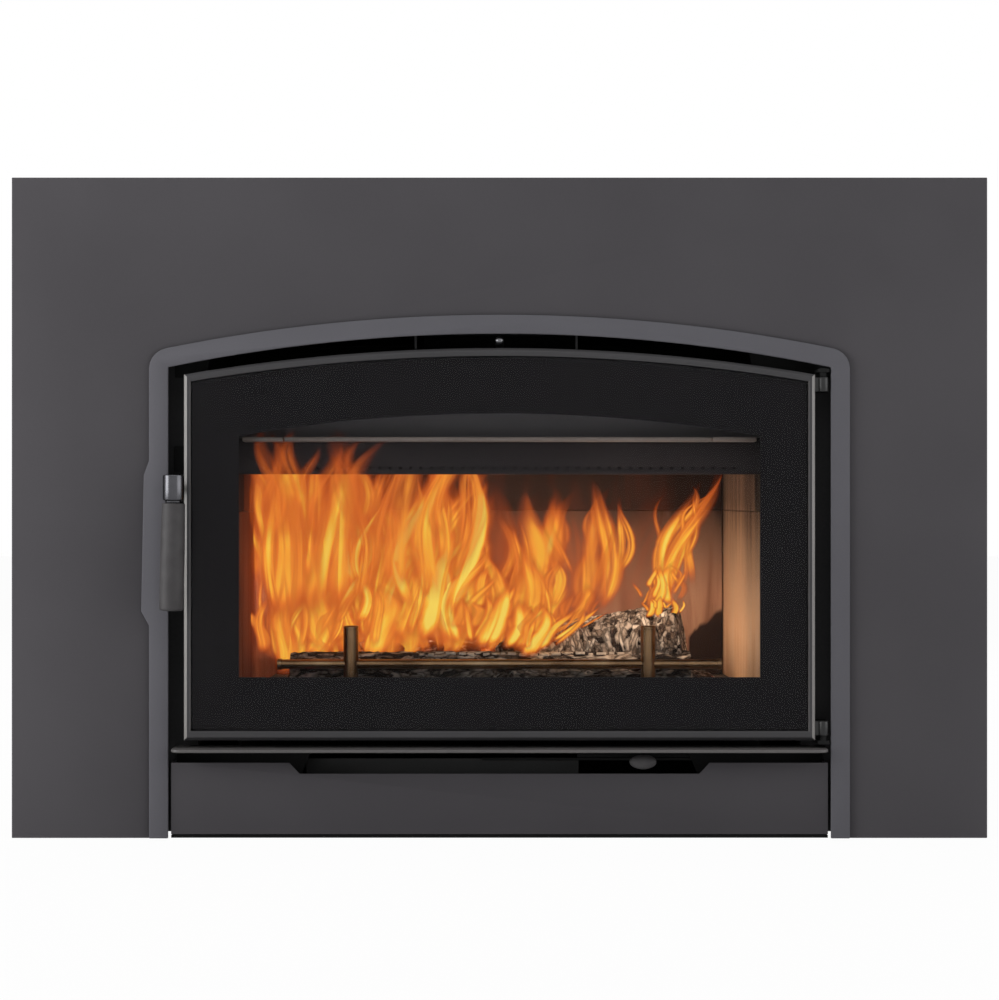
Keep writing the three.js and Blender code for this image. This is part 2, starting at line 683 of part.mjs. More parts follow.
function airSlotPlate() {
  const half = apronHalf - apron.sheet - seat;
  const plate = box([-half, half], [slotPlateFrontY, slotPlateBackY], [slotPlate.lowZ, slotTopZ]);
  const slot = plateXZ([
    [-slotPlate.lowHalf, slotPlate.slotZ],
    [slotPlate.lowHalf, slotPlate.slotZ],
    [slotPlate.topHalf, slotTopZ + through],
    [-slotPlate.topHalf, slotTopZ + through],
  ], [slotPlateFrontY - through, slotPlateBackY + through]);
  const ledge = box(
    [airStrip.ledgeX, slotPlate.lowHalf + through],
    [slotPlateBackY - slotPlate.sheet, slotPlateBackY + airStrip.depth],
    [stripLedgeTopZ - airStrip.ledge, stripLedgeTopZ],
  );
  return join(cut(plate, slot), ledge);
}

function airControlPiece() {
  const knob = new THREE.SphereGeometry(1, 20, 12);
  knob.scale(airControl.knobHalfWidth, airControl.knobDepth, airControl.knobHalfHeight);
  knob.translate(airControl.x, airControl.knobY, airControl.z);
  const stemEndY = slotPlateBackY + airStrip.depth / 2;
  const stem = rod(
    [airControl.x, airControl.knobY, airStem.z],
    [airControl.x, stemEndY, airStem.z],
    airStem.radius,
    12,
  );
  const strip = box(
    [airControl.x - airStrip.length / 2, airControl.x + airStrip.length / 2],
    [slotPlateBackY + seat, slotPlateBackY + airStrip.depth],
    [airStem.z - airStrip.height / 2, airStem.z + airStrip.height / 2],
  );
  return join(toSolid(knob), stem, strip);
}

place(insert, 'hearth_shelf', hearthShelf(), apronSteel);
place(insert, 'apron', apronPanel(), apronSteel);
place(insert, 'slot_plate', airSlotPlate(), blackSteel);
place(insert, 'air_control', airControlPiece(), apronSteel);

// ---- Corner plates over the front plate, at the ends of the warm air outlet ----
function cornerPlateSolid(side, reach, outerX) {
  const frontPlateHalf = doorArch.halfWidth - frontPlate.inset;
  const innerX = frontPlateHalf - reach;
  const lowAt = (x) => archZ(insetArch(doorArch, frontPlate.inset), x) + cornerPlate.above;
  const outline = [
    [side * outerX, lowAt(frontPlateHalf)],
    [side * frontPlateHalf, lowAt(frontPlateHalf)],
    [side * innerX, lowAt(innerX)],
    [side * (innerX - cornerPlate.slant), jacketTopZ - seat],
    [side * outerX, jacketTopZ - seat],
  ];
  return plateXZ(outline, [flangeFrontY - cornerPlate.sheet, flangeFrontY]);
}

const leftOuterX = opening.halfWidth - cornerPlate.outerGap;
const rightOuterX = hingeX - hingePlate.left - seat;
place(insert, 'corner_plate_left', cornerPlateSolid(-1, cornerReach.left, leftOuterX), blackSteel);
place(insert, 'corner_plate_right', cornerPlateSolid(1, cornerReach.right, rightOuterX), blackSteel);

// ---- Hinge brackets with their pins, and the latch catch ----
function hingeBracket(plateZ, pinZ, tabZ) {
  const across = [hingeX - hingePlate.left, hingeX + hingePlate.right];
  const plate = box(across, [doorHinge.y - hingePlate.front, flangeFrontY], plateZ);
  const tab = box(across, [flangeFrontY - hingePlate.tab, flangeFrontY], tabZ);
  const pin = rod([hingeX, doorHinge.y, pinZ[0]], [hingeX, doorHinge.y, pinZ[1]], doorHinge.pinRadius);
  return join(plate, tab, pin);
}

const topPlateZ = eyeHighZ + doorHinge.eyeHeight + hingePlate.gap;
const lowPlateZ = eyeLowZ - hingePlate.gap;
const lowPlateUnderZ = lowPlateZ - hingePlate.thickness;
place(insert, 'hinge_bracket_top', hingeBracket(
  [topPlateZ, topPlateZ + hingePlate.thickness],
  [eyeHighZ + hingePlate.pinProud, topPlateZ + hingePlate.thickness + hingePlate.pinProud],
  [eyeHighZ, topPlateZ + hingePlate.thickness],
), blackSteel);
place(insert, 'hinge_bracket_bottom', hingeBracket(
  [lowPlateUnderZ, lowPlateZ],
  [lowPlateUnderZ - hingePlate.pinProud, eyeLowZ + doorHinge.eyeHeight - hingePlate.pinProud],
  [lowPlateUnderZ, eyeLowZ + doorHinge.eyeHeight],
), blackSteel);

function latchCatch() {
  const across = [latchX - catchPiece.width / 2, latchX + catchPiece.width / 2];
  const lowZ = latch.z + cam.length + catchPiece.gap;
  const backY = [flangeFrontY - catchPiece.thickness, flangeFrontY];
  const back = box(across, backY, [lowZ, lowZ + catchPiece.height]);
  const hook = box(across, [cam.y - catchPiece.thickness, flangeFrontY], [lowZ, lowZ + catchPiece.thickness]);
  return join(back, hook);
}

place(insert, 'latch_catch', latchCatch(), blackSteel);

// ---- Door ----
const glassPocket = insetArch(doorArch, frameStrip.side, frameStrip.top, frameStrip.bottom);
const glassArch = insetArch(glassPocket, glass.edgeGap);
const webFrontY = door.frontY + frameWeb.frontGap;
const webBackY = webFrontY + frameWeb.thickness;
const glassY = door.frontY + glass.setBack;
const borderY = glassY + glass.thickness + seat;
const glassSealY = borderY + border.thickness + seat;

// A solid through rings of equal outlines, given from front to back.
function loft(rings) {
  const count = rings[0].outline.length;
  const positions = rings.flatMap(({ outline, y }) => outline.flatMap(([x, z]) => [x, y, z]));
  const flat = rings[0].outline.map(([x, z]) => new THREE.Vector2(x, z));
  const cap = THREE.ShapeUtils.triangulateShape(flat, []);
  const last = (rings.length - 1) * count;
  const index = [];
  cap.forEach(([a, b, c]) => index.push(a, b, c, last + a, last + c, last + b));
  for (let ring = 0; ring < rings.length - 1; ring += 1) {
    for (let i = 0; i < count; i += 1) {
      const next = (i + 1) % count;
      const a = ring * count + i;
      const b = ring * count + next;
      index.push(a, a + count, b, b, a + count, b + count);
    }
  }
  const geometry = new THREE.BufferGeometry();
  geometry.setAttribute('position', new THREE.Float32BufferAttribute(positions, 3));
  geometry.setIndex(index);
  return toSolid(geometry);
}

const doorEye = (z) => join(
  rod([hingeX, doorHinge.y, z], [hingeX, doorHinge.y, z + doorHinge.eyeHeight], doorHinge.eyeRadius, 20),
  box(
    [doorArch.halfWidth - frameWeb.wall, hingeX],
    [doorHinge.y - doorHinge.armThickness / 2, doorHinge.y + doorHinge.armThickness / 2],
    [z, z + doorHinge.eyeHeight],
  ),
);

function doorFrame() {
  const body = loft([
    { outline: archOutline(insetArch(doorArch, door.chamfer)), y: door.frontY },
    { outline: archOutline(doorArch), y: door.frontY + door.chamfer },
    { outline: archOutline(doorArch), y: doorBackY },
  ]);
  const bossFrontY = doorBackY - latch.bossLength;
  const boss = join(
    rod([latchX, bossFrontY, latch.z], [latchX, doorBackY, latch.z], latch.bossRadius, 20),
    box(
      [latchX, -doorArch.halfWidth + frameWeb.wall],
      [bossFrontY, doorBackY],
      [latch.z - latch.shaftRadius, latch.z + latch.shaftRadius],
    ),
  );
  const pastBackY = doorBackY + through;
  const insideFlange = insetArch(doorArch, frameWeb.flangeFrom + frameWeb.flangeWall);
  const cutters = [
    plateXZ(archOutline(glassPocket), [door.frontY - through, webFrontY]),
    plateXZ(archOutline(insetArch(clearWindow, -frameWeb.windowMargin)), [webFrontY - through, pastBackY]),
    plateXZ(
      archOutline(insetArch(doorArch, frameWeb.wall)),
      [webBackY, pastBackY],
      [archOutline(insetArch(doorArch, frameWeb.flangeFrom))],
    ),
    plateXZ(archOutline(insideFlange), [webBackY, pastBackY]),
    rod([latchX, bossFrontY - through, latch.z], [latchX, pastBackY, latch.z], latch.shaftRadius + seat),
    ...[eyeLowZ, eyeHighZ].map((z) => rod(
      [hingeX, doorHinge.y, z - through],
      [hingeX, doorHinge.y, z + doorHinge.eyeHeight + through],
      doorHinge.pinRadius + seat,
    )),
  ];
  return cut(join(body, boss, doorEye(eyeLowZ), doorEye(eyeHighZ)), ...cutters);
}

const ring = (arch, width, y) => plateXZ(archOutline(arch), y, [archOutline(insetArch(arch, width))]);

const doorGroup = new THREE.Group();
insert.add(doorGroup);
place(doorGroup, 'door_frame', doorFrame(), doorSteel);
place(doorGroup, 'door_glass', plateXZ(
  archOutline(glassArch),
  [glassY, glassY + glass.thickness],
), ceramicGlass);
place(doorGroup, 'glass_border', plateXZ(
  archOutline(glassArch),
  [borderY, borderY + border.thickness],
  [archOutline(clearWindow)],
), printedBlack);
place(doorGroup, 'glass_seal', ring(
  insetArch(glassArch, seat),
  glassSeal.width,
  [glassSealY, webFrontY - seat],
), sealRope);
place(doorGroup, 'door_rope', ring(
  insetArch(doorArch, rope.inset),
  rope.width,
  [webBackY + seat, frontPlate.y - seat],
), sealRope);

// ---- Door handle: shaft with its cam, polished ferrule and textured grip ----
const ferruleLowZ = latch.z - handle.ferruleHeight / 2;
const gripTopZ = ferruleLowZ - neck.height - seat;
const gripLowZ = gripTopZ - grip.length;

const ferrule = (grow) => rod(
  [handleX, handle.y, ferruleLowZ - grow],
  [handleX, handle.y, ferruleLowZ + handle.ferruleHeight + grow],
  handle.ferruleRadius + grow,
  24,
);

function latchShaft() {
  const shaft = rod([latchX, handle.y, latch.z], [latchX, cam.y + cam.thickness, latch.z], latch.shaftRadius);
  const tongue = box(
    [latchX - cam.width / 2, latchX + cam.width / 2],
    [cam.y, cam.y + cam.thickness],
    [latch.z - latch.shaftRadius, latch.z + cam.length],
  );
  return cut(join(shaft, tongue), ferrule(seat));
}

function handleFerrule() {
  const neckPiece = rod(
    [handleX, handle.y, ferruleLowZ - neck.height],
    [handleX, handle.y, ferruleLowZ + seat],
    neck.radius,
    20,
  );
  const coreLowZ = gripTopZ - stud.length;
  const core = rod([handleX, handle.y, coreLowZ], [handleX, handle.y, ferruleLowZ], stud.radius, 12);
  return join(ferrule(0), neckPiece, core);
}

function handleGrip() {
  const body = rod(
    [handleX - grip.lean, handle.y, gripLowZ],
    [handleX, handle.y, gripTopZ],
    grip.radiusBottom,
    grip.sides,
    grip.radiusTop,
  );
  const bore = rod(
    [handleX, handle.y, gripTopZ - stud.length - seat],
    [handleX, handle.y, gripTopZ + through],
    stud.radius + seat,
    12,
  );
  return cut(body, bore);
}

place(doorGroup, 'latch_shaft', latchShaft(), bareSteel);
place(doorGroup, 'handle_ferrule', handleFerrule(), bareSteel);
place(doorGroup, 'handle_grip', handleGrip(), gripBlack);

// ---- Blower under the firebox ----
const blowerIn = {
  x: [blower.lowX + blower.wall, blower.highX - blower.wall],
  y: [blower.frontY + blower.wall, blowerBackY + through],
  z: [onPanZ + blower.wall, blower.highZ - blower.wall],
};
const motorX = [blowerIn.x[1] - seat - motor.length, blowerIn.x[1] - seat];
const wheelX = [blowerIn.x[0] + wheel.gap, motorX[0] - wheel.gap];

function blowerHousing() {
  const block = box([blower.lowX, blower.highX], [blower.frontY, blowerBackY], [onPanZ, blower.highZ]);
  const room = box(blowerIn.x, blowerIn.y, blowerIn.z);
  const intakeCut = box(
    [blower.lowX + intake.margin, blower.highX - intake.margin],
    [blower.frontY - through, blower.frontY + through],
    [intake.lowZ, intake.highZ],
  );
  const studEndX = wheelX[0] + motor.studReach;
  const farStud = rod([blower.lowX, wheelY, wheelZ], [studEndX, wheelY, wheelZ], motor.shaftRadius, 12);
  return join(cut(block, room, intakeCut), farStud);
}

function blowerMotor() {
  const can = rod([motorX[0], wheelY, wheelZ], [motorX[1], wheelY, wheelZ], motor.radius, 24);
  const shaft = rod(
    [wheelX[1] - motor.studReach, wheelY, wheelZ],
    [motorX[0] + seat, wheelY, wheelZ],
    motor.shaftRadius,
    12,
  );
  return join(can, shaft);
}

function blowerWheel() {
  const outline = Array.from({ length: wheel.blades * 4 }, (_, i) => {
    const blade = Math.floor(i / 4);
    const corner = i % 4;
    const angle = (2 * Math.PI * (blade + [0, 0.12, 0.3, 0.42][corner])) / wheel.blades;
    const radius = corner === 1 || corner === 2 ? wheel.radius : wheel.radius - wheel.bladeDepth;
    return [wheelY + radius * Math.cos(angle), wheelZ + radius * Math.sin(angle)];
  });
  const bore = rod(
    [wheelX[0] - through, wheelY, wheelZ],
    [wheelX[1] + through, wheelY, wheelZ],
    motor.shaftRadius + seat,
    12,
  );
  return cut(barX(outline, wheelX), bore);
}

place(insert, 'blower_housing', blowerHousing(), blackSteel);
place(insert, 'blower_motor', blowerMotor(), bareSteel);
place(insert, 'blower_wheel', blowerWheel(), bareSteel);

// ---- Power inlet on the right side of the jacket ----
function powerInlet() {
  const x = [jacketHalf + seat, jacketHalf + seat + inlet.depth];
  const shell = box(
    x,
    [inlet.y - inlet.width / 2, inlet.y + inlet.width / 2],
    [inlet.z - inlet.height / 2, inlet.z + inlet.height / 2],
  );
  const socket = box(
    [x[0] + inlet.wall, x[1] + through],
    [inlet.y - inlet.width / 2 + inlet.wall, inlet.y + inlet.width / 2 - inlet.wall],
    [inlet.z - inlet.height / 2 + inlet.wall, inlet.z + inlet.height / 2 - inlet.wall],
  );
  return cut(shell, socket);
}

place(insert, 'power_inlet', powerInlet(), gripBlack);

export default insert;
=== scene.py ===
import json
import math
import random

import bpy
from mathutils import Matrix, Vector, noise

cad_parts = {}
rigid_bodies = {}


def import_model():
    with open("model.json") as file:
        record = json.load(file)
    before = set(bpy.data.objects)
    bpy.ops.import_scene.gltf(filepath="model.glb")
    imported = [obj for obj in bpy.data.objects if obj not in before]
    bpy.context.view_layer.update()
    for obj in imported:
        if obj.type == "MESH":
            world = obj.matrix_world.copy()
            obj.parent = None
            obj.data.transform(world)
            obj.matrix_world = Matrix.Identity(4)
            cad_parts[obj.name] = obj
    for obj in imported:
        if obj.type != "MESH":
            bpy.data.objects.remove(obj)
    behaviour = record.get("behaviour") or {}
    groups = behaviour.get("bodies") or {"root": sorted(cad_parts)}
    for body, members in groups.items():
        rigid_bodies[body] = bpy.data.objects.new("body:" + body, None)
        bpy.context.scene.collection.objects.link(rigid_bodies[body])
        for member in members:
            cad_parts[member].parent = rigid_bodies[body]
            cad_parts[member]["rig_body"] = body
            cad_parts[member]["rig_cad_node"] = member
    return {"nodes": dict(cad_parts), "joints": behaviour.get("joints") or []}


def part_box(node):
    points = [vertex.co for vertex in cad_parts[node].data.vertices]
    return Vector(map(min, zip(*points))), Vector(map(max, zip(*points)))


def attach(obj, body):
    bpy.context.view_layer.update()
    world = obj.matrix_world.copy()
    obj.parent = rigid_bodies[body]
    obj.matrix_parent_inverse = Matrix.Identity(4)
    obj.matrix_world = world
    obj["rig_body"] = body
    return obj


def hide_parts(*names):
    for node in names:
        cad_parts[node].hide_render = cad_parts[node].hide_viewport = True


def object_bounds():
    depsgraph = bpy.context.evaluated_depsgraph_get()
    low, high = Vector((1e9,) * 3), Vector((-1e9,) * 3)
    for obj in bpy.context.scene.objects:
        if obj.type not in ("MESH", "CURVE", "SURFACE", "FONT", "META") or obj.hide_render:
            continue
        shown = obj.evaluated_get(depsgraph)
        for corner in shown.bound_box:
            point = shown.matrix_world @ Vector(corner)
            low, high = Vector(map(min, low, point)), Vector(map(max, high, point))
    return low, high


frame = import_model()
cadLow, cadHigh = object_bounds()
cadNodes = frame["nodes"]
mm = 0.001
upward = Vector((0, 0, 1))


def srgb(hexColour):
    channels = [int(hexColour[i:i + 2], 16) / 255 for i in (0, 2, 4)]
    return tuple(c / 12.92 if c <= 0.04045 else ((c + 0.055) / 1.055) ** 2.4 for c in channels) + (1.0,)


def fit(tree, node, values):  # values: input or setting to a number, a socket, or a node for its first output
    for name, value in values.items():
        if name == "stops":  # of a colour ramp, each a place and a colour
            elements = node.color_ramp.elements
            first, *between, last = value
            for element, (place, colour) in zip(elements, (first, last)):
                element.position, element.color = place, srgb(colour)
            for place, colour in between:
                elements.new(place).color = srgb(colour)
        elif isinstance(value, (bpy.types.Node, bpy.types.NodeSocket)):
            source = value.outputs[0] if isinstance(value, bpy.types.Node) else value
            tree.links.new(source, node.inputs[name])
        elif isinstance(name, int) or name in node.inputs.keys():
            node.inputs[name].default_value = value
        else:
            setattr(node, name, value)


def addNode(tree, kind, values=None):
    node = tree.nodes.new("ShaderNode" + kind)
    fit(tree, node, values or {})
    return node


def newMaterial(name):
    material = bpy.data.materials.new(name)
    material.use_nodes = True
    tree = material.node_tree
    return material, tree, tree.nodes["Principled BSDF"], addNode(tree, "TexCoord").outputs["Object"]


def makeActive(piece):
    bpy.ops.object.select_all(action="DESELECT")
    piece.select_set(True)
    bpy.context.view_layer.objects.active = piece


def inEditMode(*steps):  # each step is a mesh operator with its settings, run on the whole active mesh
    bpy.ops.object.mode_set(mode="EDIT")
    for operator, settings in steps:
        bpy.ops.mesh.select_all(action="SELECT")
        operator(**settings)
    bpy.ops.object.mode_set(mode="OBJECT")


def applyModifier(piece, kind, settings):
    modifier = piece.modifiers.new(kind.title(), kind)
    for name, value in settings.items():
        setattr(modifier, name, value)
    makeActive(piece)
    bpy.ops.object.modifier_apply(modifier=modifier.name)


def settle(piece, name):  # the place goes into the mesh, so the object itself sits at the origin
    makeActive(piece)
    piece.name = name
    piece.data.name = name
    bpy.ops.object.transform_apply(location=True, rotation=True, scale=True)
    return piece


def smoothOver(piece, degrees):
    makeActive(piece)
    bpy.ops.object.shade_smooth_by_angle(angle=math.radians(degrees))


def joinPieces(pieces, name):
    makeActive(pieces[0])
    for piece in pieces:
        piece.select_set(True)
    if len(pieces) > 1:
        bpy.ops.object.join()
    return settle(bpy.context.view_layer.objects.active, name)


def dress(piece, material, slot, body, *replaced):
    piece.data.materials.clear()
    piece.data.materials.append(material)
    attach(piece, body)
    if replaced:
        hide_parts(*replaced)
    return piece


def bodyOf(nodeName):
    return cadNodes[nodeName]["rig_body"]


def pointsOf(nodeName):
    return [vertex.co for vertex in cadNodes[nodeName].data.vertices]


def copyOfNode(nodeName, name):  # the node's loose triangles, merged into clean flat faces
    piece = cadNodes[nodeName].copy()
    piece.data = cadNodes[nodeName].data.copy()
    bpy.context.scene.collection.objects.link(piece)
    piece.parent = None
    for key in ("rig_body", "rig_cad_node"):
        del piece[key]
    settle(piece, name)
    inEditMode((bpy.ops.mesh.remove_doubles, {"threshold": 0.02 * mm}),
               (bpy.ops.mesh.dissolve_limited, {"angle_limit": math.radians(0.6)}))
    return piece


def easedPlate(nodeName, material, slot, edge, segments=2, smooth=35):
    piece = copyOfNode(nodeName, nodeName + "_finished")
    applyModifier(piece, "BEVEL", {
        "width": edge, "segments": segments, "limit_method": "ANGLE", "angle_limit": math.radians(40),
        "use_clamp_overlap": True, "harden_normals": False,
    })
    smoothOver(piece, smooth)
    return dress(piece, material, slot, bodyOf(nodeName), nodeName)


def softBlock(low, high, edge, name, segments=3, smooth=50):
    bpy.ops.mesh.primitive_cube_add(size=1, location=(Vector(low) + Vector(high)) / 2)
    block = bpy.context.active_object
    block.scale = Vector(high) - Vector(low)
    settle(block, name)
    applyModifier(block, "BEVEL", {"width": edge, "segments": segments, "limit_method": "NONE"})
    smoothOver(block, smooth)
    return block


def turnedPiece(profile, start, along, name, steps=48):
    # profile: (distance along the axis, radius) pairs; the first and last lie on the axis
    bpy.ops.mesh.primitive_circle_add(vertices=steps, radius=profile[1][1], fill_type="NOTHING")
    piece = bpy.context.active_object
    bpy.ops.object.mode_set(mode="EDIT")
    bpy.ops.mesh.select_all(action="SELECT")
    place, radius = profile[1]
    bpy.ops.transform.translate(value=(0, 0, place))
    for nextPlace, nextRadius in profile[2:-1]:
        bpy.ops.mesh.extrude_region_move(TRANSFORM_OT_translate={"value": (0, 0, nextPlace - place)})
        scale = nextRadius / radius
        bpy.ops.transform.resize(value=(scale, scale, 1), center_override=(0, 0, nextPlace))
        place, radius = nextPlace, nextRadius
    inEditMode((bpy.ops.mesh.fill_holes, {"sides": 0}),
               (bpy.ops.mesh.normals_make_consistent, {"inside": False}))
    turn = upward.rotation_difference(Vector(along).normalized())
    piece.matrix_world = Matrix.Translation(start) @ turn.to_matrix().to_4x4()
    settle(piece, name)
    smoothOver(piece, 40)
    return piece


def roundBar(length, radius, ease, inward=None):  # the profile of a straight bar with eased ends
    rim = radius - (inward or ease)
    return [(0, 0), (0, rim), (ease, radius), (length - ease, radius), (length, rim), (length, 0)]


def quarterTurn(steps, first=0):  # (sine, cosine) from the first of the steps to a right angle
    turns = [math.pi / 2 * step / steps for step in range(first, steps + 1)]
    return [(math.sin(turn), math.cos(turn)) for turn in turns]


def middleOf(points):  # of the box round the points
    return Vector([(min(p[axis] for p in points) + max(p[axis] for p in points)) / 2 for axis in range(3)])


def cellAt(spot, width):  # 0 on a cell's border and 1 from the width inwards, and the cell's own point
    distances, points = noise.voronoi(spot)
    return min(1, (distances[1] - distances[0]) / width), points[0]


def pointMarks(mesh, kinds):  # all are made first, because each new one moves the others in memory
    for name, kind in kinds.items():
        mesh.attributes.new(name, kind, "POINT")
    return [mesh.attributes[name].data for name in kinds]


# Camera, light and stage; the camera stands where the photograph was taken from
studio = {
    "eyeDistance": 2.8,  # from the surround's front face
    "eyeHeight": 0.3874,
    "frameWidth": 0.999 * 1.146,  # what the picture spans at the surround
    "sensor": 36,
    "worldLight": 0.31,
    "floorHalf": 14,
    "floorDrop": 0.5 * mm,
    "floorGlow": 0.96,
    "seeThrough": 48,  # the flames lie behind each other, each see-through
}
lamps = {  # place, aim, size, watts
    "lamp_left": ((-3.0, -1.1, 0.8), (0, -0.05, 0.38), (1.7, 2.2), 82),
    "lamp_right": ((3.0, -1.1, 0.8), (0, -0.05, 0.38), (3.0, 3.0), 58),
    "lamp_above": ((0, -1.9, 2.7), (0, 0, 0.3), (2.6, 1.4), 14),
    "lamp_behind": ((0.6, 3.0, 2.4), (0, 0.3, 0.3), (2.6, 1.6), 40),
}
fireLights = {  # place, radius, watts: what the flames throw on the bricks
    "fire_left": ((-0.14, 0.19, 0.31), 0.06, 2.4),
    "fire_right": ((0.09, 0.20, 0.31), 0.06, 2.6),
    "fire_front": ((0.17, 0.02, 0.27), 0.05, 0.52),
}


def putInScene(name, data, place):
    holder = bpy.data.objects.new(name, data)
    holder.location = place
    bpy.context.scene.collection.objects.link(holder)
    return holder


def addCamera():
    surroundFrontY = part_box("surround_panel")[0].y
    camera = bpy.data.cameras.new("camera")
    camera.sensor_fit = "HORIZONTAL"
    camera.sensor_width = studio["sensor"]
    camera.lens = studio["sensor"] * studio["eyeDistance"] / studio["frameWidth"]
    eye = putInScene("camera", camera, (0, surroundFrontY - studio["eyeDistance"], studio["eyeHeight"]))
    eye.rotation_euler = (math.radians(90), 0, 0)
    bpy.context.scene.camera = eye


def addLamp(name, place, aim, size, power):
    lamp = bpy.data.lights.new(name, "AREA")
    lamp.shape = "RECTANGLE"
    lamp.size, lamp.size_y = size
    lamp.energy = power
    holder = putInScene(name, lamp, place)
    holder.rotation_euler = (Vector(aim) - Vector(place)).to_track_quat("-Z", "Y").to_euler()


def addFireLight(name, place, radius, power):
    lamp = bpy.data.lights.new(name, "POINT")
    lamp.shadow_soft_size = radius
    lamp.energy = power
    lamp.color = srgb("ffd6b2")[:3]
    holder = putInScene(name, lamp, place)
    holder.visible_camera = False
    holder.visible_glossy = False
    holder.visible_transmission = False


def seenDirectly(tree):  # 1 for camera, glossy and transmission rays
    path = addNode(tree, "LightPath")
    seen = addNode(tree, "Math", {
        "operation": "MAXIMUM", 0: path.outputs["Is Camera Ray"], 1: path.outputs["Is Glossy Ray"],
    })
    return addNode(tree, "Math", {"operation": "MAXIMUM", 0: seen, 1: path.outputs["Is Transmission Ray"]})


def addWorld():
    world = bpy.data.worlds.new("studio")
    bpy.context.scene.world = world
    world.use_nodes = True
    tree = world.node_tree
    tree.nodes.clear()
    plain = addNode(tree, "Background", {"Color": srgb("ffffff"), "Strength": studio["worldLight"]})
    white = addNode(tree, "Background", {"Color": srgb("ffffff"), "Strength": 1.0})
    mixed = addNode(tree, "MixShader", {0: seenDirectly(tree), 1: plain, 2: white})
    addNode(tree, "OutputWorld", {"Surface": mixed})


def addFloor():
    floorZ = cadLow.z - studio["floorDrop"]
    bpy.ops.mesh.primitive_plane_add(size=2 * studio["floorHalf"], location=(0, 0, floorZ))
    floor = settle(bpy.context.active_object, "floor")
    material, tree, shader = newMaterial("whiteFloor")[:3]
    fit(tree, shader, {"Base Color": srgb("f4f4f4"), "Roughness": 0.9, "Specular IOR Level": 0.1})
    glow = addNode(tree, "Emission", {"Color": srgb("ffffff"), "Strength": 1.0})
    share = addNode(tree, "Math", {"operation": "MULTIPLY", 0: seenDirectly(tree), 1: studio["floorGlow"]})
    mixed = addNode(tree, "MixShader", {0: share, 1: shader, 2: glow})
    fit(tree, tree.nodes["Material Output"], {"Surface": mixed})
    floor.data.materials.append(material)


for leftOver in [o for o in bpy.data.objects if o.type in ("LIGHT", "CAMERA") or o.name == "Cube"]:
    bpy.data.objects.remove(leftOver)
addCamera()
addWorld()
addFloor()
for lampName, settings in lamps.items():
    addLamp(lampName, *settings)
for lampName, settings in fireLights.items():
    addFireLight(lampName, *settings)
bpy.context.scene.view_settings.view_transform = "Standard"
bpy.context.scene.cycles.transparent_max_bounces = studio["seeThrough"]
print("studio ready")


# Finishes, each named for the real one
def matPaint(name, low, high, roughness, sheen, paintedLightBand=None, grain=1.3 * mm):
    # High-temperature silicone paint sprayed on sheet steel: dead matt, a fine dry grain, hardly any shine
    # paintedLightBand: (axis, distance from the origin, colour) of the part past that distance, painted in
    # another tone that stands in for light or shade there
    material, tree, shader, where = newMaterial(name)
    cloud = addNode(tree, "TexNoise", {"Vector": where, "Scale": 5.0, "Detail": 3.0})
    grit = addNode(tree, "TexNoise", {"Vector": where, "Scale": 0.7 / grain, "Detail": 2.0})
    blend = addNode(tree, "Math", {
        "operation": "MULTIPLY_ADD", 0: grit, 1: 0.35,
        2: addNode(tree, "Math", {"operation": "MULTIPLY", 0: cloud, 1: 0.65}),
    })
    colour = addNode(tree, "ValToRGB", {"Fac": blend, "stops": [(0.38, low), (0.62, high)]})
    dull = addNode(tree, "MapRange", {
        "Value": grit, "From Min": 0.3, "From Max": 0.7, "To Min": roughness - 0.05,
        "To Max": roughness + 0.07,
    })
    # painted light and shade: past the distance the colour gives way to one that stands in for light or shade
    if paintedLightBand:
        axis, distance, paintedLightColour = paintedLightBand
        along = addNode(tree, "SeparateXYZ", {"Vector": where}).outputs[axis]
        inPaintedLightBand = addNode(tree, "Math", {
            "operation": "GREATER_THAN", 0: addNode(tree, "Math", {"operation": "ABSOLUTE", 0: along}),
            1: distance,
        })
        colour = addNode(tree, "Mix", {
            "data_type": "RGBA", 0: inPaintedLightBand, 6: colour, 7: srgb(paintedLightColour),
        }).outputs[2]
    fit(tree, shader, {"Specular IOR Level": sheen, "Base Color": colour, "Roughness": dull})
    fit(tree, shader, {
        "Normal": addNode(tree, "Bump", {"Height": grit, "Strength": 0.12, "Distance": 0.3 * mm}),
    })
    return material


def turnedSteel(name, colours, roughness, stretch):
    # Turned and brushed steel: fine lines round or along the bar spread the highlight into a soft band
    material, tree, shader, where = newMaterial(name)
    brushed = addNode(tree, "TexNoise", {
        "Vector": addNode(tree, "Mapping", {"Vector": where, "Scale": stretch}), "Scale": 1.0, "Detail": 3.0,
    })
    smoke = addNode(tree, "TexNoise", {"Vector": where, "Scale": 26.0, "Detail": 3.0})
    tone = addNode(tree, "ValToRGB", {
        "Fac": smoke, "stops": [(0.3, colours[0]), (0.55, colours[1]), (0.75, colours[2])],
    })
    dull = addNode(tree, "MapRange", {
        "Value": brushed, "From Min": 0.3, "From Max": 0.7, "To Min": roughness - 0.06,
        "To Max": roughness + 0.08,
    })
    fit(tree, shader, {"Metallic": 1.0, "Base Color": tone, "Roughness": dull})
    fit(tree, shader, {
        "Normal": addNode(tree, "Bump", {"Height": brushed, "Strength": 0.06, "Distance": 0.1 * mm}),
    })
    return material


